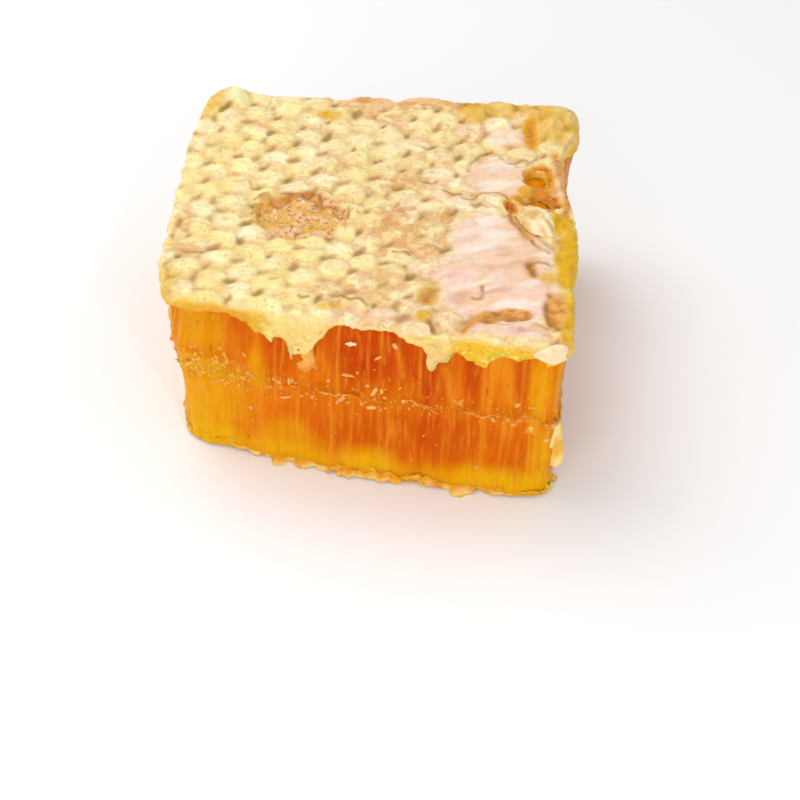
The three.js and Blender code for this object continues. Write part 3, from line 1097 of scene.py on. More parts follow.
@dataclass(frozen=True)
class TopMarks:
    """Where the upper side is torn, wet, open and creased, and its brown marks: stains, with some strokes
    that are painted shade.
    """

    wet: tuple[Blot, ...] = (
        Blot(19.8, -7.0, 6.0, 7.6), Blot(21.6, -19.6, 9.6, 10.6), Blot(25.0, -11.0, 5.2, 6.0),
        Blot(20.0, 11.2, 6.0, 5.0, 0.85), Blot(20.6, 24.0, 4.2, 3.0, 0.7), Blot(24.0, -30.6, 6.6, 1.9),
        Blot(29.9, 10.4, 1.7, 6.6, 0.9, 0.4), Blot(4.0, -29.6, 3.0, 1.6, 0.5, 0.5),
        Blot(-1.0, -30.4, 2.4, 1.4, 0.6, 0.5), Blot(10.0, -31.4, 3.0, 1.6, 0.6, 0.5),
    )
    torn: Blot = Blot(-12.7, -5.0, 8.4, 6.8)
    honey: tuple[Blot, ...] = (
        Blot(27.0, 12.3, 2.6, 3.0, 1.0, 0.35), Blot(27.5, 5.4, 3.6, 2.4, 1.0, 0.35),
        # Blot(24.9, 25.4) paints amber on the left flank of the golden lump, where it lies in shade: painted
        # shade.
        Blot(22.7, 2.9, 0.9, 2.1, 1.0, 0.35, turn=24.0), Blot(24.9, 25.4, 1.1, 4.2, 0.6, 0.8, turn=5.0),
        Blot(27.2, 9.0, 1.8, 2.6, 0.6, 0.5), Blot(24.6, 8.0, 1.2, 1.6, 0.4, 0.5),
        Blot(-33.2, -30.6, 0.8, 1.2, 0.8, 0.4),
    )
    # Folds in the wax, each sunk a little; the material paints them dark brown as painted shade.
    creases: tuple[Stroke, ...] = (
        Stroke(((14.6, 12.6), (15.4, 16.2), (17.0, 18.4), (18.6, 18.8), (20.4, 17.0), (22.6, 16.1),
                (24.0, 17.2), (25.6, 16.9), (26.6, 18.9)), 0.26, 0.9),
        Stroke(((22.6, 15.3), (24.0, 15.0), (25.4, 15.9)), 0.2, 0.7),
        Stroke(((10.8, 5.9), (12.4, 5.2), (14.2, 5.5)), 0.24, 0.9),
        Stroke(((14.2, 4.6), (15.8, 4.0), (17.2, 5.8), (19.6, 6.6), (21.4, 6.2), (22.4, 4.6)), 0.24, 0.9),
        # The strokes from (22.6, 0.6) and (23.8, 0.2) are painted shadow along the lower left edge of the
        # curled flap.
        Stroke(((22.6, 0.6), (23.4, -1.8), (24.8, -3.6), (26.4, -6.1), (27.4, -7.6),
                (29.6, -9.4)), 0.45, 1.0),
        Stroke(((30.2, -21.6), (29.9, -24.6), (30.3, -27.6), (32.0, -29.6)), 0.5, 0.9),
        Stroke(((23.8, 0.2), (24.8, -2.0), (26.0, -3.6), (27.6, -5.6), (28.8, -7.2),
                (30.4, -8.2)), 0.38, 0.9),
        Stroke(((18.0, -23.5), (19.0, -23.6), (19.6, -22.9), (19.6, -20.5)), 0.3, 0.9),
        Stroke(((22.7, -25.9), (22.9, -27.4)), 0.3, 0.7), Stroke(((27.4, -16.2), (26.8, -13.8)), 0.55),
        Stroke(((26.6, -13.6), (28.4, -12.9), (30.4, -13.0)), 0.34, 0.7),
        Stroke(((11.7, -30.3), (12.6, -32.2), (13.5, -33.8)), 0.55),
        Stroke(((12.7, -30.6), (14.2, -32.4)), 0.2, 0.6),
        Stroke(((-4.2, -26.2), (-2.6, -25.6), (-1.2, -26.6), (0.4, -26.4), (1.8, -27.8)), 0.34, 0.85),
        Stroke(((-9.4, -27.2), (-8.8, -27.9), (-7.9, -27.4)), 0.34, 0.85),
        Stroke(((3.0, 32.4), (6.0, 33.0), (10.0, 33.6), (13.0, 33.0)), 0.3, 0.7),
        Stroke(((-3.0, 29.0), (2.0, 30.4), (7.0, 30.2)), 0.26, 0.6),
        Stroke(((-16.6, 1.4), (-13.9, 1.9), (-12.2, 1.2), (-10.8, 2.3), (-9.6, 0.6),
                (-9.2, -1.8)), 0.34, 0.9),
        Stroke(((-8.6, -0.4), (-6.6, -0.8), (-5.4, -2.2), (-4.6, -1.4), (-4.3, -4.6)), 0.34, 0.85),
        Stroke(((-20.6, -1.0), (-18.8, 0.3), (-17.2, -1.2), (-15.8, -0.8), (-15.0, 0.8)), 0.34, 0.8),
        Stroke(((-24.4, 3.4), (-22.8, 3.9), (-21.6, 2.0), (-20.9, 2.3)), 0.3, 0.8),
        Stroke(((-31.2, -17.4), (-29.0, -18.4), (-26.8, -18.0)), 0.3, 0.8),
        Stroke(((-31.6, -9.0), (-32.2, -12.0), (-32.2, -15.0)), 0.34, 0.8),
        Stroke(((22.4, -29.6), (24.6, -28.9), (27.4, -28.8), (30.4, -29.9)), 0.18, 0.6),
        Stroke(((17.2, -32.0), (18.6, -29.4), (20.6, -27.2), (23.4, -26.2), (27.6, -26.2)), 0.16, 0.5),
        Stroke(((4.6, 19.0), (7.0, 18.6), (8.2, 19.4)), 0.22, 0.6),
        Stroke(((6.4, 8.4), (8.6, 7.8), (9.4, 8.6)), 0.24, 0.7),
        Stroke(((4.2, -13.4), (6.0, -12.8), (7.0, -13.6)), 0.24, 0.7),
    )
    # Brown marks: mostly stains, but the strokes along the right edge and beside the curled flap are painted
    # shade.
    brown: tuple[Union[Blot, Stroke], ...] = (
        Blot(20.6, -27.9, 2.8, 1.5, 1.0, 0.25, turn=30.0),
        Blot(24.9, -26.6, 3.2, 1.35, 1.0, 0.25, turn=-4.0),
        Stroke(((17.4, -31.9), (18.2, -30.0), (19.3, -28.7)), 0.8),
        # Painted shade along the right edge.
        Stroke(((29.6, 19.6), (30.4, 15.2), (31.0, 12.4)), 0.9, 0.8),
        Stroke(((31.6, 12.0), (32.2, 8.0), (32.3, 5.3), (31.9, 2.0)), 0.8, 0.8),
        # Painted shadow along the lower left edge of the curled flap.
        Stroke(((22.9, 3.4), (23.3, 0.4), (24.2, -2.4), (26.0, -5.7)), 1.1, 0.6),
        Stroke(((27.3, -16.4), (26.9, -14.0)), 0.8),
        Stroke(((26.6, -0.9), (28.2, -3.4), (30.4, -5.6), (32.0, -8.4)), 0.5, 0.45),
        Stroke(((-20.9, -5.6), (-19.4, -3.4), (-17.4, -1.6), (-15.0, 0.9), (-11.7, 2.0),
                (-10.2, -0.2), (-8.2, -1.3), (-5.8, -3.3), (-4.7, -6.8)), 0.75, 0.8),
        Blot(10.9, -23.9, 1.3, 2.1, 0.55, 0.5, turn=-10.0), Blot(31.4, -25.4, 1.7, 4.4, 1.0, 0.35),
        Blot(29.4, 9.0, 1.0, 4.6, 0.5, 0.5), Blot(22.9, 2.4, 0.9, 1.6, 0.8, 0.5, turn=10.0),
    )
    tan: tuple[Blot, ...] = (
        Blot(6.5, -7.5, 7.0, 9.0, 0.85, 0.5), Blot(3.0, -23.0, 10.0, 5.0, 0.7, 0.5),
        Blot(12.3, -1.6, 1.4, 2.6), Blot(13.2, -8.7, 1.3, 2.8), Blot(10.2, -11.7, 2.4, 2.0),
        Blot(10.4, -17.2, 1.9, 1.5), Blot(1.0, 32.0, 12.0, 2.6, 1.0, 0.4),
        Blot(4.0, 8.0, 5.0, 5.0, 0.6, 0.5), Blot(31.6, -25.5, 1.2, 5.0, 0.9),
        Blot(-31.5, -11.0, 1.6, 5.0, 0.8), Blot(-30.0, -18.0, 3.0, 2.6, 0.7),
        Blot(13.0, 20.0, 5.0, 4.0, 0.5, 0.5), Blot(-8.0, 12.0, 3.0, 3.0, 0.5, 0.5),
        Blot(-3.4, 27.8, 5.0, 2.4, 0.8, 0.4), Blot(2.0, 24.0, 2.6, 1.8, 0.6, 0.4),
        Blot(27.0, -6.0, 5.0, 2.2, 0.6, 0.4, turn=-40.0), Blot(-24.0, 22.0, 5.0, 2.0, 0.5, 0.5),
        Blot(-12.0, 20.5, 4.0, 1.6, 0.5, 0.5),
    )
    gold: tuple[Blot, ...] = (
        Blot(29.8, 29.8, 6.0, 7.4, 0.66, 0.4), Blot(10.9, -23.9, 1.8, 2.6, 0.6, 0.4, turn=-10.0),
        Blot(14.4, 31.2, 3.0, 3.4, 0.8, 0.4), Blot(29.9, -17.0, 1.4, 1.5, 0.8, 0.5),
        Blot(31.4, -1.4, 2.2, 3.4), Blot(33.0, -11.0, 2.2, 10.0, 1.0, 0.3),
        Blot(-11.6, 26.7, 2.4, 1.2, 0.9, 0.6), Blot(-17.8, -4.6, 2.8, 4.2, 0.55, 0.5),
        Blot(33.6, -26.0, 1.8, 9.0, 0.9, 0.4), Blot(-33.6, 26.5, 2.4, 5.0, 0.6, 0.5),
        Blot(-31.8, -27.0, 3.0, 3.6, 0.6, 0.5), Blot(31.6, 14.0, 1.4, 7.0, 0.6, 0.4),
        Blot(10.8, -29.3, 1.3, 1.2, 0.8), Blot(20.0, 32.0, 6.0, 2.4, 0.6, 0.5),
        Blot(-4.0, -28.8, 2.4, 1.2, 0.6, 0.5), Blot(6.6, 33.0, 3.0, 1.6, 0.5, 0.5),
    )


class CapField:
    """The upper side point by point: which way it faces, its cells, and how strong each mark is."""

    def __init__(self, skin: Skin, marks: TopMarks) -> None:
        """Measures the skin before it is sculpted.

        Args:
            skin: The skin of the caps.
            marks: Where they are torn, wet, open, creased or marked brown.
        """
        self.grain = grain = Grain(3)
        self.flat = flat = flattened(skin.points)
        self.x, self.y, self.z = x, y, z = flat[:, 0], flat[:, 1], skin.z.copy()
        self.up = smooth(skin.normals[:, 2], 0.25, 0.7) * smooth(z, COMB.capping + 0.3, COMB.capping + 1.1)
        self.side = 1.0 - smooth(skin.normals[:, 2], 0.2, 0.75)
        self.level = broad_level(skin.points, self.up)
        self.near = near = COMB.upper.around(x + 0.6 * grain.at(flat, 3.4),
                                             y + 0.6 * grain.at(flat, 3.4, shift=50.0))
        self.rough = rough = grain.at(flat, 2.2, shift=12.0)
        self.wet = strongest(marks.wet, x, y, 0.13 * grain.layered(flat, 3.6))
        self.torn_rim = marks.torn.rim(x, y) + 0.15 * grain.layered(flat, 2.8)
        self.torn = 1.0 - smooth(self.torn_rim, 0.93, 1.0)
        self.honey = strongest(marks.honey, x, y, 0.22 * rough + 0.16 * grain.at(flat, 0.9, shift=27.0))
        self.brown = strongest(marks.brown, x + 0.2 * rough, y)
        self.crease = strongest(marks.creases, x + 0.3 * rough, y + 0.3 * grain.at(flat, 2.2, shift=17.0))
        self.gold = strongest(marks.gold, x, y, 0.2 * rough)
        self.tan = strongest(marks.tan, x, y, 0.25 * rough)
        self.padded = padded = (1.0 - self.wet) * (1.0 - self.torn) * (1.0 - self.honey)
        joined = smooth(grain.at(flat, 5.0, shift=9.0), -0.35, 0.45)
        dent = 1.0 - smooth(near.junction + 0.5 * grain.at(flat, 1.2), 0.1, 1.5)
        self.dimple = near.depth * dent * padded
        disc = 1.0 - smooth(near.centre + 0.8 * grain.at(flat, 1.6, shift=3.0), 1.5, 2.6)
        self.disc = disc * (0.3 + 0.7 * near.other)
        self.seam = ridge(near.wall, 0.24) * joined * padded
        # The streaks run along the ripples of the wet patches and also place their painted shade and
        # highlight.
        slanted = flat @ np.array([[0.87, -0.5, 0.0], [0.5, 0.87, 0.0], [0.0, 0.0, 1.0]])
        self.streak = grain.layered(slanted, 1.7, 3, (4.0, 1, 1), shift=40.0)


@dataclass
class TopCapping:
    """The upper wax caps. Sizes are in millimetres."""

    marks: TopMarks = TopMarks()
    fineness: float = 0.286
    cap_reach: float = 2.9        # from a cap's middle to where its dome ends
    dome: float = 0.11            # how far a cap bulges
    unevenness: float = 0.24      # how much caps differ in height
    dimple: float = 0.16
    seam: float = 0.1             # the groove between two caps
    pleat: float = 0.16
    crease: float = 0.2
    open_cell: float = 0.3
    # how far the brown marks sink: stains, and strokes of painted shade
    brown_dent: float = 0.16
    torn_lip: float = 0.3
    skirt_lift: float = 1.5       # how much higher the torn edge hangs between the two long tongues

    def build(self, solid: bpy.types.Object) -> bpy.types.Object:
        """Sculpts the caps.

        Args:
            solid: The frame's own caps.

        Returns:
            The piece.
        """
        piece = Bench.cast(solid, "wax_caps")
        Bench.remesh(piece, self.fineness)
        skin = Skin(piece)
        under = (skin.normals[:, 2] < -0.95) & (np.abs(skin.z - COMB.capping) < 0.4)
        Bench.thin_out(piece, under, 0.03)
        Bench.finish(piece, "SMOOTH", factor=0.5, iterations=2)
        skin = Skin(piece)
        field = CapField(skin, self.marks)
        relief = sum([*self.dry_relief(field), *self.marked_relief(field)])
        skin.points[:, 2] += field.up * relief
        self.tear_skirt(skin, field)
        skin.write()
        self.paint(skin, field)
        return piece

    def dry_relief(self, field: CapField) -> list[np.ndarray]:
        """Works out the relief of dry wax: domes, dimples, seams, crumbs and pleats.

        Args:
            field: The upper side.

        Returns:
            Heights to add up, each with one value for each point.
        """
        grain, flat, near, padded, dry = field.grain, field.flat, field.near, field.padded, 1.0 - field.wet
        dome = 1.0 - (near.centre / self.cap_reach) ** 2
        return [
            padded * 0.6 * np.clip(field.level - field.z, -0.2, 0.8),
            padded * (self.dome * np.clip(dome, -0.6, 1) + self.unevenness * (near.cell - 0.5)),
            -self.dimple * field.dimple - self.seam * field.seam,
            padded * (1.0 - near.depth) * 0.2 * ridge(near.junction, 1.0),
            dry * (0.09 * grain.layered(flat, 1.3) + 0.05 * grain.at(flat, 0.55)),
            -(dry * self.pleat * ridge(grain.at(flat, 2.6, (1.6, 1, 1), shift=33.0), 0.06)),
        ]

    def marked_relief(self, field: CapField) -> list[np.ndarray]:
        """Works out the relief of the torn, wet, open, creased and golden places.

        Args:
            field: The upper side.

        Returns:
            Heights to add up, each with one value for each point.
        """
        grain, flat = field.grain, field.flat
        front = smooth(-field.y, 26.0, 29.0)
        ripples = 0.24 * field.streak + 0.16 * grain.layered(flat, 3.0) + 0.06 * grain.at(flat, 0.9)
        return [
            field.torn * (0.4 * np.abs(grain.layered(flat, 1.5, shift=20.0)) - 0.4),
            field.wet * ripples,
            ridge(field.torn_rim - 1.06, 0.08) * self.torn_lip * (1.0 - field.wet),
            -(self.crease * field.crease + self.open_cell * field.honey + self.brown_dent * field.brown),
            field.gold * (0.4 * grain.layered(flat, 2.0, shift=70.0) + 0.1 * grain.at(flat, 0.9)),
            field.padded * front * 0.22 * grain.layered(flat, 1.2, shift=55.0),
        ]

    def tear_skirt(self, skin: Skin, field: CapField) -> None:
        """Tears the hanging edge, lifts it between the long tongues and roughens it.

        Args:
            skin: The skin, which is changed.
            field: The upper side.
        """
        grain, flat, side = field.grain, field.flat, field.side
        ragged = 1.0 + 0.34 * grain.at(flat, 1.5, shift=60.0) + 0.16 * grain.at(flat, 0.7, shift=70.0)
        hang = COMB.capping - 0.4
        hung = hang + (skin.z - hang) * ragged
        skin.points[:, 2] = np.where(field.z < hang, hung, skin.z)
        across = field.x + 0.5 * field.rough
        arch = smooth(across, -5.5, -2.5) * (1.0 - smooth(across, 10.0, 13.5)) * smooth(-field.y, 28.0, 31.0)
        wavy = 1.0 + 0.5 * grain.at(flat, 1.7, shift=81.0)
        skin.points[:, 2] += side * (self.skirt_lift * arch * wavy * (1.0 - smooth(skin.z, 28.4, 31.2)))
        low = 1.0 - smooth(field.z, COMB.capping - 1.2, COMB.capping + 0.6)
        crust = 0.26 * grain.layered(skin.points, 1.5) + 0.14 * grain.layered(skin.points, 0.6, shift=9.0)
        skin.push(side * (crust - 0.1 - 0.2 * low))

    def paint(self, skin: Skin, field: CapField) -> None:
        """Paints the masks that the finish reads.

        Args:
            skin: The sculpted skin.
            field: The upper side.
        """
        grain, flat, near, up, side = field.grain, field.flat, field.near, field.up, field.side
        x, y, z, rough, honey = field.x, field.y, field.z, field.rough, field.honey
        foot = 1.0 - smooth(skin.normals[:, 2], 0.45, 0.95)
        foot *= (1.0 - smooth(z + 0.5 * rough, 29.6, 31.6)) * smooth(-x, 13.0, 19.0) * smooth(-y, 28.0, 31.0)
        left = 1.0 - smooth(x + 0.3 * y, -24.0, 14.0)
        ends = np.maximum(smooth(-x, 13.0, 18.0), smooth(x, 14.0, 18.0))
        dripping = 1 - smooth(z + 0.9 * rough, COMB.capping - 0.4, COMB.capping + 2.4)
        broken = smooth(grain.at(flat, 1.4, shift=45.0), -0.5, 0.1)
        fringe = ridge(field.wet - 0.4, 0.25) * smooth(grain.at(flat, 3.0, shift=90.0), -0.1, 0.5)
        # halo places painted shade round the dimples and along the seams between caps.
        halo = np.clip(near.depth * ridge(near.junction, 1.3) + 0.35 * field.seam, 0, 1)
        skin.paint(
            # dimple places painted shade in the dimples.
            dimple=up * field.dimple * 1.15,
            disc=up * field.disc + side * 0.5,
            # streak places the painted shade and painted highlight on the wet patches.
            streak=0.5 + 0.6 * field.streak,
            halo=up * field.padded * halo,
            torn=field.torn * up,
            wet=field.wet * up,
            honey=honey * up + 0.42 * foot,
            # crease places the painted shade along the folds.
            crease=field.crease * up * (1.0 - 0.5 * honey) * (0.35 + 0.65 * broken),
            tan=field.tan + 0.35 * smooth(near.cell, 0.72, 0.95) * (1 - left) + 0.9 * fringe,
            pink=(smooth(near.other, 0.45, 0.8) * (1.0 - 0.5 * left)
                  + 0.7 * smooth(-y, 26.5, 28.5) * smooth(x, -5.0, -2.0)),
            butter=0.5 * left + 0.7 * smooth(-y, 26.0, 31.0) * smooth(-x, -6.0, 2.0) + side * 0.6,
            gold=np.maximum(field.gold, 0.9 * foot),
            brown=field.brown * up,
            soaked=side * dripping * (0.4 + 0.6 * ends),
        )


class CutOutline:
    """How far the cut faces lie from the middle, all the way round, without flutes."""

    STEPS = 360   # places round the piece
    WINDOW = 4    # hollows narrower than twice this many places are bridged

    def __init__(self, bands: Sequence[tuple[float, Skin, float]]) -> None:
        """Measures the faces at some heights.

        Args:
            bands: For each height, from the lowest, the skin that is measured there and how far
                it stands out of the cut.
        """
        self.heights = [height for height, _, _ in bands]
        self.reach = np.stack([self._measured(*band) for band in bands])

    def _measured(self, height: float, skin: Skin, proud: float) -> np.ndarray:
        """Measures one height.

        Args:
            height: The height.
            skin: The skin that is measured there.
            proud: How far it stands out of the cut.

        Returns:
            The distance from the middle, for each step round the piece.
        """
        near = (np.abs(skin.z - height) < 1.2) & (np.abs(skin.normals[:, 2]) < 0.7)
        step = (self._turn(skin.points[near]) * self.STEPS).astype(int) % self.STEPS
        away = np.hypot(skin.x[near], skin.y[near]) - proud
        counts = np.bincount(step, minlength=self.STEPS)
        mean = np.bincount(step, weights=away, minlength=self.STEPS) / np.maximum(counts, 1)
        known = np.flatnonzero(counts)
        mean = np.interp(np.arange(self.STEPS), known, mean[known], period=self.STEPS)
        window = range(-self.WINDOW, self.WINDOW + 1)
        bridged = np.max([np.roll(mean, shift) for shift in window], axis=0)
        bridged = np.min([np.roll(bridged, shift) for shift in window], axis=0)
        return np.mean([np.roll(bridged, shift) for shift in (-2, -1, 0, 1, 2)], axis=0)

    @staticmethod
    def _turn(points: np.ndarray) -> np.ndarray:
        """Direction from the middle, from 0 to 1 for a full turn."""
        return np.arctan2(points[:, 1], points[:, 0]) / (2 * math.pi) % 1.0

    def at(self, points: np.ndarray) -> np.ndarray:
        """Finds the cut face in the direction and at the height of some points.

        Args:
            points: One point a row.

        Returns:
            Its distance from the middle, for each point.
        """
        place = self._turn(points) * self.STEPS - 0.5
        low = np.floor(place).astype(int)
        part = place - low
        rows = self.reach[:, low % self.STEPS] * (1 - part) + self.reach[:, (low + 1) % self.STEPS] * part
        level = np.interp(points[:, 2], self.heights, np.arange(len(self.heights)))
        below = np.clip(np.floor(level).astype(int), 0, len(self.heights) - 2)
        share = level - below
        each = np.arange(len(points))
        return rows[below, each] * (1 - share) + rows[below + 1, each] * share


@dataclass(frozen=True)
class CutMarks:
    """Where the front of the honey is redder, more golden or flecked with wax, across and up. The gold at
    the thin left, right and lower edges is painted glow, and the broad red blot low on the front is painted
    shade.
    """

    deep: tuple[Blot, ...] = (
        Blot(3.5, 26.0, 8.5, 7.0, 0.95, 0.5), Blot(12.6, 24.0, 3.0, 8.0, 0.95, 0.5),
        Blot(-12.7, 22.4, 2.4, 5.5, 0.7, 0.5), Blot(-19.4, 25.4, 3.0, 3.0, 0.35, 0.6),
        Blot(19.5, 24.5, 1.7, 7.0, 0.85, 0.5), Blot(27.2, 24.5, 1.3, 6.0, 0.75, 0.5),
        Blot(32.6, 24.6, 0.6, 3.4, 0.6, 0.5), Blot(14.0, 11.0, 9.0, 5.0, 0.6, 0.6),
        # Blot(6.0, 8.0) darkens the lower front: painted shade.
        Blot(27.5, 9.0, 4.0, 4.0, 0.5, 0.6), Blot(6.0, 8.0, 20.0, 6.0, 0.4, 0.6),
        Blot(-29.8, 28.4, 1.2, 1.4, 0.7, 0.5),
    )
    # Golden blots at the left, right and lower edges are painted glow of light through thin honey.
    gold: tuple[Blot, ...] = (
        Blot(-26.0, 25.0, 6.0, 5.0, 0.6, 0.6), Blot(-25.5, 9.0, 7.5, 9.0, 0.7, 0.6),
        Blot(-15.8, 18.6, 1.6, 5.0, 0.55, 0.6), Blot(-10.0, 5.0, 6.0, 4.0, 0.5, 0.6),
        Blot(33.8, 22.0, 1.4, 9.0, 0.6, 0.5), Blot(30.0, 22.5, 1.6, 7.5, 0.7, 0.5),
        Blot(32.6, 7.0, 3.0, 8.0, 0.7, 0.5), Blot(-33.6, 17.0, 2.2, 14.0, 0.9, 0.5),
        Blot(-28.4, 28.4, 3.4, 2.2, 0.9, 0.4), Blot(-20.6, 29.6, 2.4, 1.4, 0.8, 0.4),
        Blot(-27.0, 17.4, 5.0, 2.4, 0.8, 0.5), Blot(3.0, 4.0, 5.0, 2.6, 0.7, 0.6),
        Blot(24.0, 3.4, 8.0, 2.6, 0.7, 0.6),
    )
    panes: tuple[Stroke, ...] = (
        Stroke(((14.9, 24.6), (15.8, 21.6), (16.8, 18.6)), 1.0, 0.8),
        Stroke(((24.3, 28.0), (24.9, 24.0), (25.8, 19.8)), 0.9, 0.8),
        Stroke(((21.9, 28.6), (22.4, 24.0), (22.7, 20.6)), 0.35, 0.8),
        Stroke(((6.8, 27.6), (8.0, 21.6)), 0.5, 0.7),
    )
    walls: tuple[float, ...] = (-29.0, -24.5, -12.6, -8.4, -2.2, 4.9, 10.6, 16.9, 21.5, 24.3, 27.3, 30.2)


class CutField:
    """A layer's cut faces point by point: their cells, and how strong each mark is."""

    def __init__(self, skin: Skin, layer: "CombLayer", edges: Sequence[bpy.types.Object]) -> None:
        """Measures the skin before it is sculpted.

        Args:
            skin: The skin of the layer.
            layer: Its cells and marks.
            edges: The wax pieces above or below it and in the middle.
        """
        self.grain = grain = Grain(11)
        self.points = points = skin.points.copy()
        self.x, self.y, self.z = x, y, z = skin.x.copy(), skin.y.copy(), skin.z.copy()
        self.side = 1.0 - smooth(np.abs(skin.normals[:, 2]), 0.4, 0.8)
        self.front = smooth(-skin.normals[:, 1], 0.25, 0.7)
        gap, self.rib = (skin.clearance(edge, self.side > 0.01) for edge in edges)
        bend = 0.5 * grain.at(points, 4.0, (1, 1, 3.0))
        self.near = near = layer.lattice.around(
            x + bend, y + 0.5 * grain.at(points, 4.0, (1, 1, 3.0), shift=30.0))
        self.end = gap * 0.8 + 0.35 * (near.cell - 0.3)
        self.lip = ridge(self.end, 0.3) * (gap < 2.0)
        self.wall = ridge(near.wall, 0.2)
        self.hollow = smooth(near.wall, 0.0, 1.2)
        self.broken = smooth(grain.at(points, 2.4, (1, 1, 2.4), shift=80.0), -0.5, 0.4)
        self.smear = smooth(-x, 9.0, 16.0) * smooth(-skin.normals[:, 1], 0.3, 0.8)
        shown = self.front * smooth(grain.at(points, 3.0, (1, 1, 3.0), shift=66.0), -0.4, 0.3)
        drawn = [ridge(x + 1.6 * bend - place, 0.32) for place in layer.marks.walls]
        self.lines = shown * np.max(drawn, axis=0)
        self.panes = self.front * strongest(layer.marks.panes, x + 0.4 * bend, z)
        self.crumbly = ridge(z - COMB.midrib, 3.0) * smooth(grain.at(points, 3.4, shift=61.0), -0.4, 0.3)


@dataclass
class CombLayer:
    """A layer of honey-filled cells, seen where the cut crosses it. Sizes are in millimetres."""

    name: str
    lattice: CellLattice
    low: float
    high: float
    lap: float                    # how much wax laps over the honey at the layer's end, from 0 to 1
    marks: CutMarks = CutMarks()
    fineness: float = 0.288
    wall: float = 0.2             # how far the wall between two cells stands out
    unevenness: float = 0.3       # how much cells differ in depth
    hollow: float = 0.12          # how far the honey in a cell lies back
    rib: float = 0.3              # how far the honey swells next to the midrib
    line: float = 0.16
    pane: float = 0.22
    streak: float = 0.12
    thread: float = 0.09
    crumb: float = 0.22

    def blank(self, solid: bpy.types.Object) -> bpy.types.Object:
        """Covers the solid with a skin fine enough to sculpt.

        Args:
            solid: The frame's own layer.

        Returns:
            The piece, not yet sculpted.
        """
        piece = Bench.cast(solid, self.name)
        self.square_off(piece)
        Bench.remesh(piece, self.fineness)
        skin = Skin(piece)
        reach = np.maximum(np.abs(skin.x), np.abs(skin.y))
        middle = (1.0 - smooth(reach, 24.0, 26.0)) * smooth(-skin.x, -20.0, -16.0)
        front = smooth(-skin.y, 26.0, 29.0) * smooth(skin.z, self.high - 2.0, self.high) * self.lap
        skin.points[:, 2] += 0.6 * front - 1.2 * middle * smooth(skin.normals[:, 2], 0.5, 0.9)
        skin.write()
        Bench.thin_out(piece, (np.abs(skin.normals[:, 2]) > 0.97) & (reach < 26.0), 0.02)
        Bench.finish(piece, "SMOOTH", factor=0.5, iterations=6)
        return piece

    def square_off(self, piece: bpy.types.Object) -> None:
        """Brings the ragged seams level at the layer's ends, so that wax laps over the honey.

        Args:
            piece: The layer, which is changed.
        """
        middle = (self.low + self.high) / 2
        for level, above in ((self.high, True), (self.low, False)):
            skin = Skin(piece)
            heights, counts = np.unique(np.round(skin.z, 3), return_counts=True)
            flat = heights[(counts > MANY) & ((heights > middle) == above)][0]
            reached = Bench.grown(piece, np.abs(skin.z - flat) < 0.002)
            skin = Skin(piece)
            skin.points[reached, 2] = level
            skin.write()

    def shape(self, piece: bpy.types.Object, outline: CutOutline, edges: Sequence[bpy.types.Object]) -> None:
        """Sculpts the cut cells.

        Args:
            piece: The blank.
            outline: The cut faces without flutes.
            edges: The wax pieces above or below it and in the middle.
        """
        skin = Skin(piece)
        away = np.hypot(skin.x, skin.y)
        face = outline.at(skin.points)
        inner = -6.0 + 2.0 * smooth(np.abs(skin.normals[:, 2]), 0.3, 0.7)
        grow = 1.0 + smooth(away - face, inner, inner + 1.6) * (face - away) / np.maximum(away, 1.0)
        skin.points[:, :2] *= grow[:, None]
        skin.write()
        Bench.finish(piece, "SMOOTH", factor=0.5, iterations=4)
        skin = Skin(piece)
        field = CutField(skin, self, edges)
        calm = 1.0 - 0.8 * ridge(field.z - COMB.midrib, 1.6) * field.smear
        skin.push(field.side * (self.relief(field) * calm - 0.45 * self.past_seam(field)))
        skin.tuck(edges[0], 0.4)
        self.paint(skin, field)

    def relief(self, field: CutField) -> np.ndarray:
        """Works out the relief of the cut: walls, sunk honey, streaks, panes and crumbs.

        Args:
            field: The cut faces.

        Returns:
            How far each point stands out.
        """
        grain, points, wall, hollow, smear = field.grain, field.points, field.wall, field.hollow, field.smear
        honey = (field.near.cell - 0.5) * self.unevenness * hollow
        honey = honey + 0.14 * grain.layered(points, 3.6, 3, (1, 1, 2.0))
        at_end = 1.0 - smooth(field.end, 0.0, 1.3)
        return sum([
            self.wall * wall * field.broken * (1 - 0.8 * smear),
            honey * (1 - wall),
            -self.hollow * hollow * (1 - smear),
            -(0.5 * self.lap - 0.25) * hollow * at_end * (1.0 - 0.7 * smear),
            self.rib * ridge(field.rib, 0.9),
            self.line * field.lines + self.pane * field.panes,
            (self.streak * grain.at(points, 1.5, (1, 1, 7.0))
             + self.thread * grain.at(points, 0.7, (1, 1, 9.0))),
            (0.08 * grain.layered(points, 1.1, shift=40.0)
             + self.crumb * field.crumbly * grain.layered(points, 0.9)),
        ])

    def past_seam(self, field: CutField) -> np.ndarray:
        """How far each point lies past the uneven line of the midrib, 0 on the layer's own side."""
        seam = COMB.midrib + 0.3 * field.grain.at(flattened(field.points), 2.4) - field.z
        return np.clip(seam if self.low > COMB.midrib - 2.0 else -seam, 0.0, 1.4)

    def paint(self, skin: Skin, field: CutField) -> None:
        """Paints the masks that the finish reads.

        Args:
            skin: The sculpted skin.
            field: The cut faces before that.
        """
        grain, points, side, front = field.grain, skin.points, field.side, field.front
        rough = grain.at(points, 2.6, (1, 1, 2.5), shift=55.0)
        deep = strongest(self.marks.deep, field.x, field.z, 0.3 * rough)
        gold = strongest(self.marks.gold, field.x, field.z, 0.3 * rough)
        elsewhere = 0.5 + 0.5 * grain.at(points, 8.0, shift=90.0)
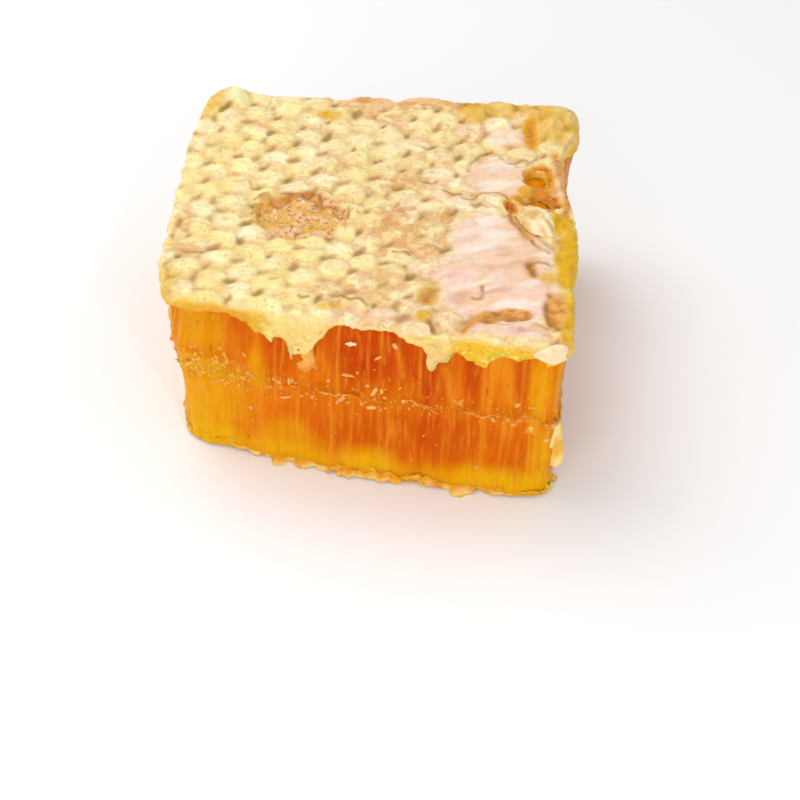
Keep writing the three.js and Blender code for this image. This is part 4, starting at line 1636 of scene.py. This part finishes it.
        # leftmost is the left corner, where deep is held back and gold added as painted glow.
        leftmost = smooth(-field.x, 30.5, 33.5) * smooth(-field.y, 16.0, 26.0)
        walls = np.maximum(field.wall * (0.15 + 0.75 * field.broken), 0.5 * field.lip)
        drawn = np.maximum(0.55 * field.lines, field.panes)
        skin.paint(
            wall=side * np.maximum(walls * (1 - 0.6 * field.smear), drawn),
            deep=front * deep + (1 - front) * 0.7 * elsewhere * (1 - 0.6 * leftmost),
            # Gold at the lowest edge and at the left corner is painted glow.
            gold=(front * gold + (1 - front) * 0.5 * (1 - elsewhere) + 0.6 * smooth(-field.z, -6.0, -1.5)
                  + 0.5 * leftmost * smooth(grain.at(points, 2.2, shift=71.0), -0.6, 0.4)),
            pale=side * smooth(grain.layered(points, 1.0, 2, shift=15.0), 0.5, 0.9) * field.crumbly,
        )


@dataclass
class Midrib:
    """The wax sheet in the middle, its broken edge standing out of the cut. Sizes are in millimetres."""

    fineness: float = 0.24
    zigzag: float = 0.5           # how far the cells draw the sheet up and down
    broken_back: float = 2.4      # how far the edge lies back where it is broken off
    smeared_back: float = 0.09    # how much of its reach it loses where wax is smeared over it

    def build(self, solid: bpy.types.Object) -> bpy.types.Object:
        """Sculpts the broken edge.

        Args:
            solid: The frame's own midrib.

        Returns:
            The piece.
        """
        piece = Bench.cast(solid, "midrib_edge")
        Bench.remesh(piece, self.fineness)
        skin = Skin(piece)
        reach = np.maximum(np.abs(skin.x), np.abs(skin.y))
        Bench.thin_out(piece, (np.abs(skin.normals[:, 2]) > 0.9) & (reach < 27.0), 0.02)
        skin = Skin(piece)
        grain = Grain(23)
        flat = flattened(skin.points)
        near = COMB.upper.around(skin.x, skin.y)
        side = 1.0 - smooth(np.abs(skin.normals[:, 2]), 0.5, 0.9)
        zigzag = np.clip(0.4 * (near.wall - 1.2), -self.zigzag, self.zigzag)
        line = COMB.midrib + zigzag + 0.45 * grain.at(flat, 2.6)
        skin.points[:, 2] = line + (skin.z - COMB.midrib) * (0.28 + 0.2 * grain.at(skin.points, 1.6))
        smear = smooth(-skin.x, 9.0, 16.0) * smooth(-skin.y, 22.0, 26.0)
        shown = smooth(grain.at(flat, 2.6, shift=5.0), -0.15, 0.3)
        skin.push(side * (0.14 * grain.layered(skin.points, 0.9) + 0.1 - self.broken_back * (1.0 - shown)))
        skin.points[:, :2] *= 1.0 - self.smeared_back * smear[:, None]
        skin.write()
        skin.paint(edge=side * smooth(grain.at(skin.points, 1.4), -0.4, 0.5))
        return piece


@dataclass
class BottomCapping:
    """The caps of the underside with their ragged hem. Sizes are in millimetres."""

    fineness: float = 0.27
    groove: float = 0.25
    dimple: float = 0.5
    frill: float = 0.7            # how far the hem's upper edge goes up and down
    scallop: float = 0.75
    teeth: float = 1.5            # how far the torn teeth of the hem stand out

    def build(self, solid: bpy.types.Object) -> bpy.types.Object:
        """Sculpts the hem and the caps.

        Args:
            solid: The frame's own lower caps.

        Returns:
            The piece.
        """
        piece = Bench.cast(solid, "hem_caps")
        Bench.remesh(piece, self.fineness)
        skin = Skin(piece)
        reach = np.maximum(np.abs(skin.x), np.abs(skin.y))
        Bench.thin_out(piece, (skin.normals[:, 2] > 0.9) & (reach < 28.0), 0.02)
        Bench.finish(piece, "SMOOTH", factor=0.5, iterations=2)
        skin = Skin(piece)
        grain = Grain(31)
        flat = flattened(skin.points)
        down = smooth(-skin.normals[:, 2], 0.5, 0.9)
        near = COMB.lower.around(skin.x, skin.y)
        groove = self.groove * ridge(near.wall, 0.4) + self.dimple * near.depth * ridge(near.junction, 1.0)
        frill = (1.0 - down) * smooth(skin.z, 0.6, 2.4)
        wavy = self.frill * grain.at(flat, 1.4) + 0.35 * grain.at(flat, 0.7)
        skin.points[:, 2] += down * groove + frill * wavy
        crust = 0.26 * grain.layered(skin.points, 1.4) + 0.1 * grain.at(skin.points, 0.6)
        scallop = self.scallop * grain.at(flat, 2.2, shift=21.0) + 0.4 * grain.at(flat, 0.9, shift=33.0)
        teeth = self.teeth * smooth(grain.at(flat, 1.4, shift=45.0), 0.0, 0.5)
        teeth = teeth * (0.8 + 0.5 * grain.at(flat, 5.0, shift=57.0))
        low = 1.0 - smooth(skin.z, 0.3, 1.2)
        skin.push((1.0 - down) * (crust + (scallop + teeth) * low - 0.6 * smooth(skin.z, 0.6, 1.6)))
        skin.points[:, 2] = np.maximum(skin.points[:, 2], 0.0)
        skin.write()
        rim = 1.0 - smooth(skin.z + 0.5 * grain.at(flat, 1.2, shift=8.0), 0.5, 1.3)
        skin.paint(edge=(1.0 - down) * rim * smooth(grain.at(skin.points, 2.0, shift=5.0), -0.6, 0.2))
        return piece


# ---- Loose pieces ----------------------------------------------------------------


class Ground:
    """Finds the surface of the finished layers."""

    def __init__(self, pieces: Sequence[bpy.types.Object]) -> None:
        """Reads the finished layers."""
        graph = bpy.context.evaluated_depsgraph_get()
        self.trees = [BVHTree.FromObject(piece, graph) for piece in pieces]

    def hit(self, start: Sequence[float], towards: Sequence[float]) -> tuple[np.ndarray, np.ndarray]:
        """Casts a ray.

        Args:
            start: Where it starts, in millimetres.
            towards: Its direction.

        Returns:
            The first place that it meets, in millimetres, and the outward direction there.
        """
        found = [tree.ray_cast(Vector(start) * MM, Vector(towards).normalized()) for tree in self.trees]
        met = [(reach, place, normal) for place, normal, _, reach in found if place is not None]
        if not met:
            raise ValueError(f"nothing at {tuple(start)}")
        _, place, normal = min(met, key=lambda item: item[0])
        return np.array(place) / MM, np.array(normal)

    def above(self, x: float, y: float) -> tuple[np.ndarray, np.ndarray]:
        """The upper side at a place across and deep."""
        return self.hit((x, y, 60.0), (0, 0, -1))

    def front(self, x: float, z: float) -> tuple[np.ndarray, np.ndarray]:
        """The front at a place across and up."""
        return self.hit((x, -70.0, z), (0, 1, 0))


@dataclass(frozen=True)
class Bit:
    """One loose bit: where it sits, which way is out, its half sizes and its turn."""

    place: np.ndarray
    out: np.ndarray
    size: Size
    turn: float = 0.0
    sunk: float = 0.3

    def frame(self) -> np.ndarray:
        """Works out which way it lies.

        Returns:
            Its own axes as rows: across, along and out.
        """
        out = self.out / np.linalg.norm(self.out)
        helper = np.array([0.0, 0.0, 1.0]) if abs(out[2]) < 0.8 else np.array([0.0, 1.0, 0.0])
        across = np.cross(helper, out)
        across /= np.linalg.norm(across)
        along = np.cross(out, across)
        c, s = math.cos(self.turn), math.sin(self.turn)
        return np.stack([c * across + s * along, c * along - s * across, out])


@dataclass
class Bits:
    """Many small loose bits of one kind, such as wax crumbs or honey beads."""

    name: str
    seed: int
    rough: float = 0.25
    fineness: int = 2
    jagged: float = 0.0
    pale: float = 0.5

    def build(self, bits: Sequence[Bit]) -> bpy.types.Object:
        """Models one bit, copies it to every place, each a little different, and joins the copies.

        Args:
            bits: Where the bits sit.

        Returns:
            The piece.
        """
        bpy.ops.object.select_all(action="DESELECT")
        bpy.ops.mesh.primitive_ico_sphere_add(subdivisions=self.fineness, radius=1.0)
        piece = bpy.context.view_layer.objects.active
        model = piece.data
        points = np.array([tuple(vertex.co) for vertex in model.vertices])
        faces = np.array([tuple(face.vertices) for face in model.polygons])
        grain = Grain(self.seed)
        angle = np.arctan2(points[:, 1], points[:, 0])
        round_spots = np.stack([np.cos(angle), np.sin(angle), 0.0 * angle], axis=1)
        all_points, all_faces = [], []
        for k, bit in enumerate(bits):
            swell = 1.0 + self.rough * grain.layered(points, 0.9, 2, shift=17.0 * k)
            swell *= 1.0 + self.jagged * grain.layered(round_spots, 0.7, 2, shift=5.3 * k)
            shaped = points * swell[:, None] * np.asarray(bit.size)
            shaped[:, 2] += bit.size[2] * (1.0 - 2.0 * bit.sunk)
            all_points.append((shaped @ bit.frame() + bit.place) * MM)
            all_faces.append(faces + k * len(points))
        joined = bpy.data.meshes.new(self.name)
        joined.from_pydata(np.vstack(all_points).tolist(), [], np.vstack(all_faces).tolist())
        piece.data = joined
        piece.name = self.name
        skin = Skin(piece)
        skin.paint(edge=self.pale + 0.7 * grain.at(skin.points, 1.0))
        return piece


@dataclass(frozen=True)
class Flap:
    """A torn tongue of thin wax, its length and width spread over a small grid."""

    name: str
    middle: tuple[float, float, float]
    along: tuple[float, float, float]
    out: tuple[float, float, float]
    length: float
    width: float
    curl: float = 0.0
    hump: float = 0.4
    thickness: float = 0.45
    seed: int = 5
    ragged: float = 0.16

    def build(self) -> bpy.types.Object:
        """Shapes a grid into the flap and gives it its thickness.

        Returns:
            The piece.
        """
        bpy.ops.object.select_all(action="DESELECT")
        bpy.ops.mesh.primitive_grid_add(x_subdivisions=44, y_subdivisions=30, size=2.0)
        piece = bpy.context.view_layer.objects.active
        piece.name = self.name
        grain = Grain(self.seed)
        flat = np.array([tuple(vertex.co) for vertex in piece.data.vertices])
        u, v = flat[:, 0], flat[:, 1]
        along = np.asarray(self.along, float)
        along /= np.linalg.norm(along)
        out = np.asarray(self.out, float)
        out = out - along * out.dot(along)
        out /= np.linalg.norm(out)
        across = np.cross(out, along)
        u, v = u * np.sqrt(1.0 - v**2 / 2), v * np.sqrt(1.0 - u**2 / 2)
        reach, angle = np.hypot(u, v), np.arctan2(v, u)
        round_spots = np.stack([np.cos(angle), np.sin(angle), 0.0 * u], axis=1)
        edge = 1.0 + reach * self.ragged * grain.layered(round_spots, 0.8)
        long, wide = u * edge * self.length / 2, v * edge * self.width / 2
        rise = self.hump * (1.0 - reach**2) - 0.35 * reach**4 + self.curl * np.clip(-v - 0.1, 0, 1) ** 1.6
        back = self.curl * 0.6 * np.clip(-v - 0.45, 0, 1) ** 1.5
        place = np.stack([long, wide, 0 * u], axis=1)
        rise += 0.16 * grain.layered(place, 1.8) + 0.22 * grain.at(place, 0.9, (5, 1, 1))
        points = np.asarray(self.middle) + long[:, None] * along + (wide + back)[:, None] * across
        points += rise[:, None] * out
        piece.data.vertices.foreach_set("co", (points * MM).ravel())
        Bench.finish(piece, "SOLIDIFY", thickness=self.thickness * MM, offset=-1.0)
        Bench.finish(piece, "SUBSURF", levels=1, render_levels=1)
        skin = Skin(piece)
        skin.push(0.07 * grain.layered(skin.points, 0.9))
        skin.write()
        # The pale streaks follow the raised pleats of the rise above: painted highlight on the pleats, with
        # random pale patches.
        local = skin.points - np.asarray(self.middle)
        pleats = np.stack([local @ along, local @ across, 0 * local[:, 0]], axis=1)
        pale = grain.at(pleats, 0.9, (5, 1, 1)) + 0.5 * grain.at(skin.points, 1.6)
        skin.paint(edge=smooth(pale, -0.4, 0.3))
        return piece


# Flakes on the front: across, up, half sizes and turn in radians.
FLAKES: tuple[tuple[float, float, Size, float], ...] = (
    (-0.7, 20.4, (1.5, 0.26, 0.2), 0.0), (-1.6, 15.8, (0.7, 0.4, 0.3), 0.5),
    (-2.2, 15.3, (0.3, 0.6, 0.25), -0.3), (3.4, 15.0, (1.0, 0.45, 0.3), 0.1),
    (3.8, 18.2, (0.3, 0.8, 0.25), -0.4), (4.9, 18.3, (0.35, 0.45, 0.25), 0.3),
    (-11.0, 14.0, (0.9, 0.26, 0.22), 0.2), (-6.4, 15.2, (0.3, 0.6, 0.25), -0.3),
    (-10.4, 17.4, (0.25, 0.6, 0.2), 0.2), (-22.4, 18.6, (0.3, 0.5, 0.2), 0.3),
    (-27.2, 17.4, (0.8, 0.25, 0.2), 0.4), (-26.4, 18.4, (0.3, 0.5, 0.2), 0.9),
    (6.8, 27.4, (0.3, 0.8, 0.25), 0.5), (8.4, 17.0, (0.35, 0.5, 0.25), 0.0),
    (17.7, 18.3, (0.7, 0.45, 0.18), 0.7), (26.8, 18.9, (0.6, 0.4, 0.18), 0.8),
    (23.2, 15.6, (0.5, 0.35, 0.2), 0.0), (21.0, 5.4, (0.8, 0.24, 0.2), 0.2),
    (32.0, 12.4, (0.5, 0.45, 0.3), 0.0), (4.0, 24.6, (0.7, 0.2, 0.18), 0.6),
    (-18.0, 21.6, (0.25, 0.45, 0.2), 0.2), (-16.6, 7.6, (0.4, 0.25, 0.2), 0.2),
    (-31.0, 23.0, (0.45, 2.4, 0.3), 0.18), (-31.2, 17.6, (0.9, 0.3, 0.2), 0.5),
)


@dataclass
class LooseWax:
    """Flakes, blobs, crumbs and flaps of wax, and beads of honey. Sizes are in millimetres."""

    ground: Ground
    chance: np.random.Generator
    specks_made: int = 240
    crumbs_made: int = 80
    beads_made: int = 24
    flecks_on_seam: int = 150
    flecks_under_caps: int = 50

    def on_front(self, x: float, z: float, size: Size, turn: float = 0.0, sunk: float = 0.35) -> Bit:
        """Lays a bit on the front of the honey.

        Args:
            x: Its place across.
            z: Its height.
            size: Its half sizes.
            turn: Its turn in radians.
            sunk: How deep it sits, as a share of its thickness.

        Returns:
            The bit.
        """
        place, out = self.ground.front(x, z)
        out = out * np.array([1.0, 1.0, 0.5]) + np.array([0.0, -0.6, 0.0])
        return Bit(place, out, size, turn, sunk)

    def on_top(self, x: float, y: float, size: Size, turn: float = 0.0, sunk: float = 0.35) -> Bit:
        """Lays a bit on the upper side, with the same values."""
        place, out = self.ground.above(x, y)
        return Bit(place, out + np.array([0.0, 0.0, 1.0]), size, turn, sunk)

    def blobs(self) -> bpy.types.Object:
        """Models the smooth blobs of pale wax along the front edge.

        Returns:
            The piece.
        """
        return Bits("white_blobs", 41, 0.42, 4, 0.25).build([
            self.on_front(31.9, 30.8, (2.3, 1.5, 0.7), 0.05, 0.5),
            self.on_top(-0.9, -31.4, (1.6, 1.1, 0.6), -0.2, 0.5),
            self.on_front(-0.6, 30.6, (0.8, 0.6, 0.4), 0.1, 0.45),
            self.on_top(10.2, -32.4, (2.2, 1.0, 0.5), 0.15, 0.5),
            self.on_front(-0.4, 26.8, (0.8, 0.45, 0.3), 0.2, 0.4),
        ])

    def flakes(self) -> bpy.types.Object:
        """The pale flakes of cell wall that stick to the front."""
        return Bits("wall_flakes", 43, 0.25, 2, 0.5, 0.15).build([self.on_front(*row) for row in FLAKES])

    def patch(self) -> bpy.types.Object:
        """The broad golden flake left of the middle of the front."""
        flake = self.on_front(-7.0, 22.2, (1.9, 2.2, 0.24), 0.6, 0.45)
        return Bits("broad_flake", 44, 0.5, 4, 0.5, -0.2).build([flake])

    def specks(self) -> bpy.types.Object:
        """Scatters tiny chips of wax round the midrib and over the front.

        Returns:
            The piece.
        """
        bits = []
        for _ in range(self.specks_made):
            across = self.chance.uniform(-28, 33)
            height = float(np.clip(16.6 + self.chance.standard_t(2) * 1.3, 2.5, 26.5))
            size = self.chance.uniform(0.07, 0.22)
            shape = (size * self.chance.uniform(0.6, 1.9), size * self.chance.uniform(0.6, 1.9), 0.12)
            bits.append(self.on_front(across, height, shape, self.chance.uniform(0, 3)))
        return Bits("wall_specks", 45, 0.3, 1, 0.5, 0.0).build(bits)

    def crumbs(self) -> bpy.types.Object:
        """Scatters tan crumbs in the torn patch.

        Returns:
            The piece.
        """
        bits = []
        for _ in range(self.crumbs_made):
            reach, angle = math.sqrt(self.chance.uniform(0, 1.0)), self.chance.uniform(0, 2 * math.pi)
            x, y = -12.7 + 8.2 * reach * math.cos(angle), -5.0 + 6.4 * reach * math.sin(angle)
            size = self.chance.uniform(0.2, 0.5)
            shape = (size * 1.5, size * self.chance.uniform(0.4, 0.9), size * 0.35)
            bits.append(self.on_top(x, y, shape, self.chance.uniform(0, 3), 0.6))
        return Bits("torn_crumbs", 47, 0.4, 2, 0.3).build(bits)

    def beads(self) -> bpy.types.Object:
        """Scatters beads of honey over the front.

        Returns:
            The piece.
        """
        bits = []
        for _ in range(self.beads_made):
            x, z = self.chance.uniform(-27, 33), self.chance.uniform(3.0, 27.0)
            size = self.chance.uniform(0.12, 0.3)
            shape = (size, size * self.chance.uniform(1.0, 2.4), size * 0.5)
            bits.append(self.on_front(x, z, shape, 0.0, 0.45))
        return Bits("honey_beads", 53, 0.15, 2).build(bits)

    def crust(self) -> bpy.types.Object:
        """Scatters golden flecks of crushed cell wall at the left of the front.

        Returns:
            The piece, most of it on the midrib and the rest under the caps.
        """
        bits = []
        for number in range(self.flecks_on_seam + self.flecks_under_caps):
            on_seam = number < self.flecks_on_seam
            level, spread, run = (17.2, 1.9, 21.0) if on_seam else (28.2, 1.1, 12.0)
            across = -33.0 + run * self.chance.beta(1.2, 1.8)
            height = float(np.clip(self.chance.normal(level, spread), 9.0, 30.0))
            size = self.chance.uniform(0.1, 0.36)
            shape = (size * self.chance.uniform(0.6, 1.7), size * self.chance.uniform(0.6, 1.9), 0.1)
            bits.append(self.on_front(across, height, shape, self.chance.uniform(0, 3), 0.62))
        return Bits("golden_flecks", 59, 0.35, 2, 0.5, -0.1).build(bits)

    def flaps(self) -> list[tuple[bpy.types.Object, Wax]]:
        """Shapes the curled flap, the tan flaps at the back and the thin flap at the right.

        Returns:
            Each piece with its wax.
        """
        top = self.ground.above(27.0, -1.6)[0][2]
        back = self.ground.above(-4.0, 31.0)[0][2]
        fold = self.ground.above(6.0, 32.0)[0][2]
        curled = Flap("curled_flap", (27.2, -1.2, top + 0.4), (-0.55, 0.84, 0.0), (0, 0, 1), 9.4, 6.0,
                      curl=0.7, hump=1.3)
        behind = Flap("back_flap", (-4.2, 31.4, back + 0.1), (1, 0.02, 0), (0, -0.2, 1), 9.5, 3.6,
                      curl=0.3, hump=0.5, seed=7)
        folded = Flap("back_fold", (5.4, 32.6, fold + 0.1), (1, 0.08, 0.04), (0, -0.2, 1), 10.0, 2.2,
                      curl=0.3, hump=0.4, seed=8)
        beside = Flap("side_flap", (33.6, -32.8, 10.2), (0.05, 0.1, 1), (0.35, -0.9, 0), 8.4, 3.6,
                      curl=0.3, hump=0.2, thickness=0.3, seed=12, ragged=0.22)
        return [(curled.build(), Wax.WHITE_FLAP), (behind.build(), Wax.TAN_FLAP),
                (folded.build(), Wax.TAN_FLAP), (beside.build(), Wax.SIDE_FLAP)]


# ---- Studio ---------------------------------------------------------------------


@dataclass(frozen=True)
class Studio:
    """A pale floor, soft white light all round and a long lens from above the front edge."""

    eye: tuple[float, float, float] = (25.45, -263.4, 215.2)
    azimuth: float = 4.35
    elevation: float = 40.58
    roll: float = 2.53
    lens: float = 85.0
    ambient: float = 0.62
    key: float = 1.0

    def camera(self) -> None:
        """Adds the camera."""
        data = bpy.data.cameras.new("camera")
        data.lens = self.lens
        data.clip_start = 0.01
        data.clip_end = 10.0
        camera = bpy.data.objects.new("camera", data)
        bpy.context.scene.collection.objects.link(camera)
        turn, lift, roll = (math.radians(v) for v in (self.azimuth, self.elevation, self.roll))
        back = Vector((math.sin(turn) * math.cos(lift), -math.cos(turn) * math.cos(lift), math.sin(lift)))
        right = (-back).cross(Vector((0, 0, 1))).normalized()
        up = right.cross(-back)
        rolled_right = math.cos(roll) * right + math.sin(roll) * up
        rolled_up = -math.sin(roll) * right + math.cos(roll) * up
        rotation = Matrix((rolled_right, rolled_up, back)).transposed().to_4x4()
        camera.matrix_world = Matrix.Translation(Vector(self.eye) * MM) @ rotation
        bpy.context.scene.camera = camera

    def softbox(self, name: str, place: Sequence[float], size: float, power: float) -> None:
        """Adds a square light that faces the piece.

        Args:
            name: Its name.
            place: Where it stands, in millimetres.
            size: Its width in millimetres.
            power: Its power in watts.
        """
        data = bpy.data.lights.new(name, "AREA")
        data.size = size * MM
        data.energy = power
        lamp = bpy.data.objects.new(name, data)
        bpy.context.scene.collection.objects.link(lamp)
        lamp.location = Vector(place) * MM
        aim = Vector((0, 0, 18 * MM)) - lamp.location
        lamp.rotation_euler = aim.to_track_quat("-Z", "Y").to_euler()

    def build(self) -> None:
        """Sets up floor, light and camera."""
        bpy.ops.mesh.primitive_plane_add(size=4.0, location=(0, 0, 0))
        floor = bpy.context.view_layer.objects.active
        floor.name = "floor"
        material = bpy.data.materials.new("floor")
        Graph(material).surface({"Base Color": (0.95, 0.95, 0.95), "Roughness": 0.7})
        floor.data.materials.append(material)
        world = bpy.data.worlds.new("studio")
        world.use_nodes = True
        world.node_tree.nodes["Background"].inputs["Color"].default_value = (1.0, 1.0, 1.0, 1.0)
        world.node_tree.nodes["Background"].inputs["Strength"].default_value = self.ambient
        bpy.context.scene.world = world
        self.softbox("key", (-200, 120, 400), 360, self.key * 0.95)
        self.softbox("front", (-60, -380, 180), 200, self.key * 0.42)
        self.softbox("glint", (120, -300, 260), 30, self.key * 0.16)
        bpy.context.scene.view_settings.view_transform = "Standard"
        self.camera()


def main() -> None:
    """Builds the layers, the loose pieces and the studio."""
    logging.basicConfig(level=logging.INFO, format="%(message)s")
    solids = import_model()["nodes"]
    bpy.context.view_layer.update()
    caps = TopCapping().build(solids["top_capping"])
    midrib = Midrib().build(solids["midrib"])
    hem = BottomCapping().build(solids["bottom_capping"])
    near_cells = CombLayer("honey_upper", COMB.upper, 15.8, 30.3, 1.0)
    far_cells = CombLayer("honey_lower", COMB.lower, 0.4, 17.9, 0.0)
    upper = near_cells.blank(solids["upper_comb"])
    lower = far_cells.blank(solids["lower_comb"])
    bands = ((5.5, lower, 0.0), (11.0, lower, 0.0), (19.4, upper, 0.0), (30.4, caps, 0.6))
    outline = CutOutline([(height, Skin(piece), proud) for height, piece, proud in bands])
    near_cells.shape(upper, outline, (caps, midrib))
    far_cells.shape(lower, outline, (hem, midrib))
    honey = CombHoney().material()
    sit(caps, CappingWax().material(), Slot.CAPPING, "top_capping")
    sit(upper, honey, Slot.HONEY, "upper_comb")
    sit(lower, honey, Slot.HONEY, "lower_comb")
    sit(midrib, Wax.MIDRIB.material(), Slot.MIDRIB, "midrib")
    sit(hem, Wax.HEM.material(), Slot.HEM, "bottom_capping")
    loose = LooseWax(Ground([caps, upper, lower, midrib, hem]), np.random.default_rng(17))
    flake = Wax.FLAKE.material()
    sit(loose.blobs(), Wax.BLOB.material(), Slot.CAPPING)
    sit(loose.patch(), Wax.BROAD.material(), Slot.MIDRIB)
    sit(loose.flakes(), flake, Slot.MIDRIB)
    sit(loose.specks(), flake, Slot.MIDRIB)
    sit(loose.crumbs(), Wax.CRUMB.material(), Slot.CAPPING)
    sit(loose.beads(), honey, Slot.HONEY)
    sit(loose.crust(), Wax.GOLDEN.material(), Slot.MIDRIB)
    for flap, wax in loose.flaps():
        sit(flap, wax.material(), Slot.CAPPING)
    Studio().build()


if __name__ == "__main__":
    main()
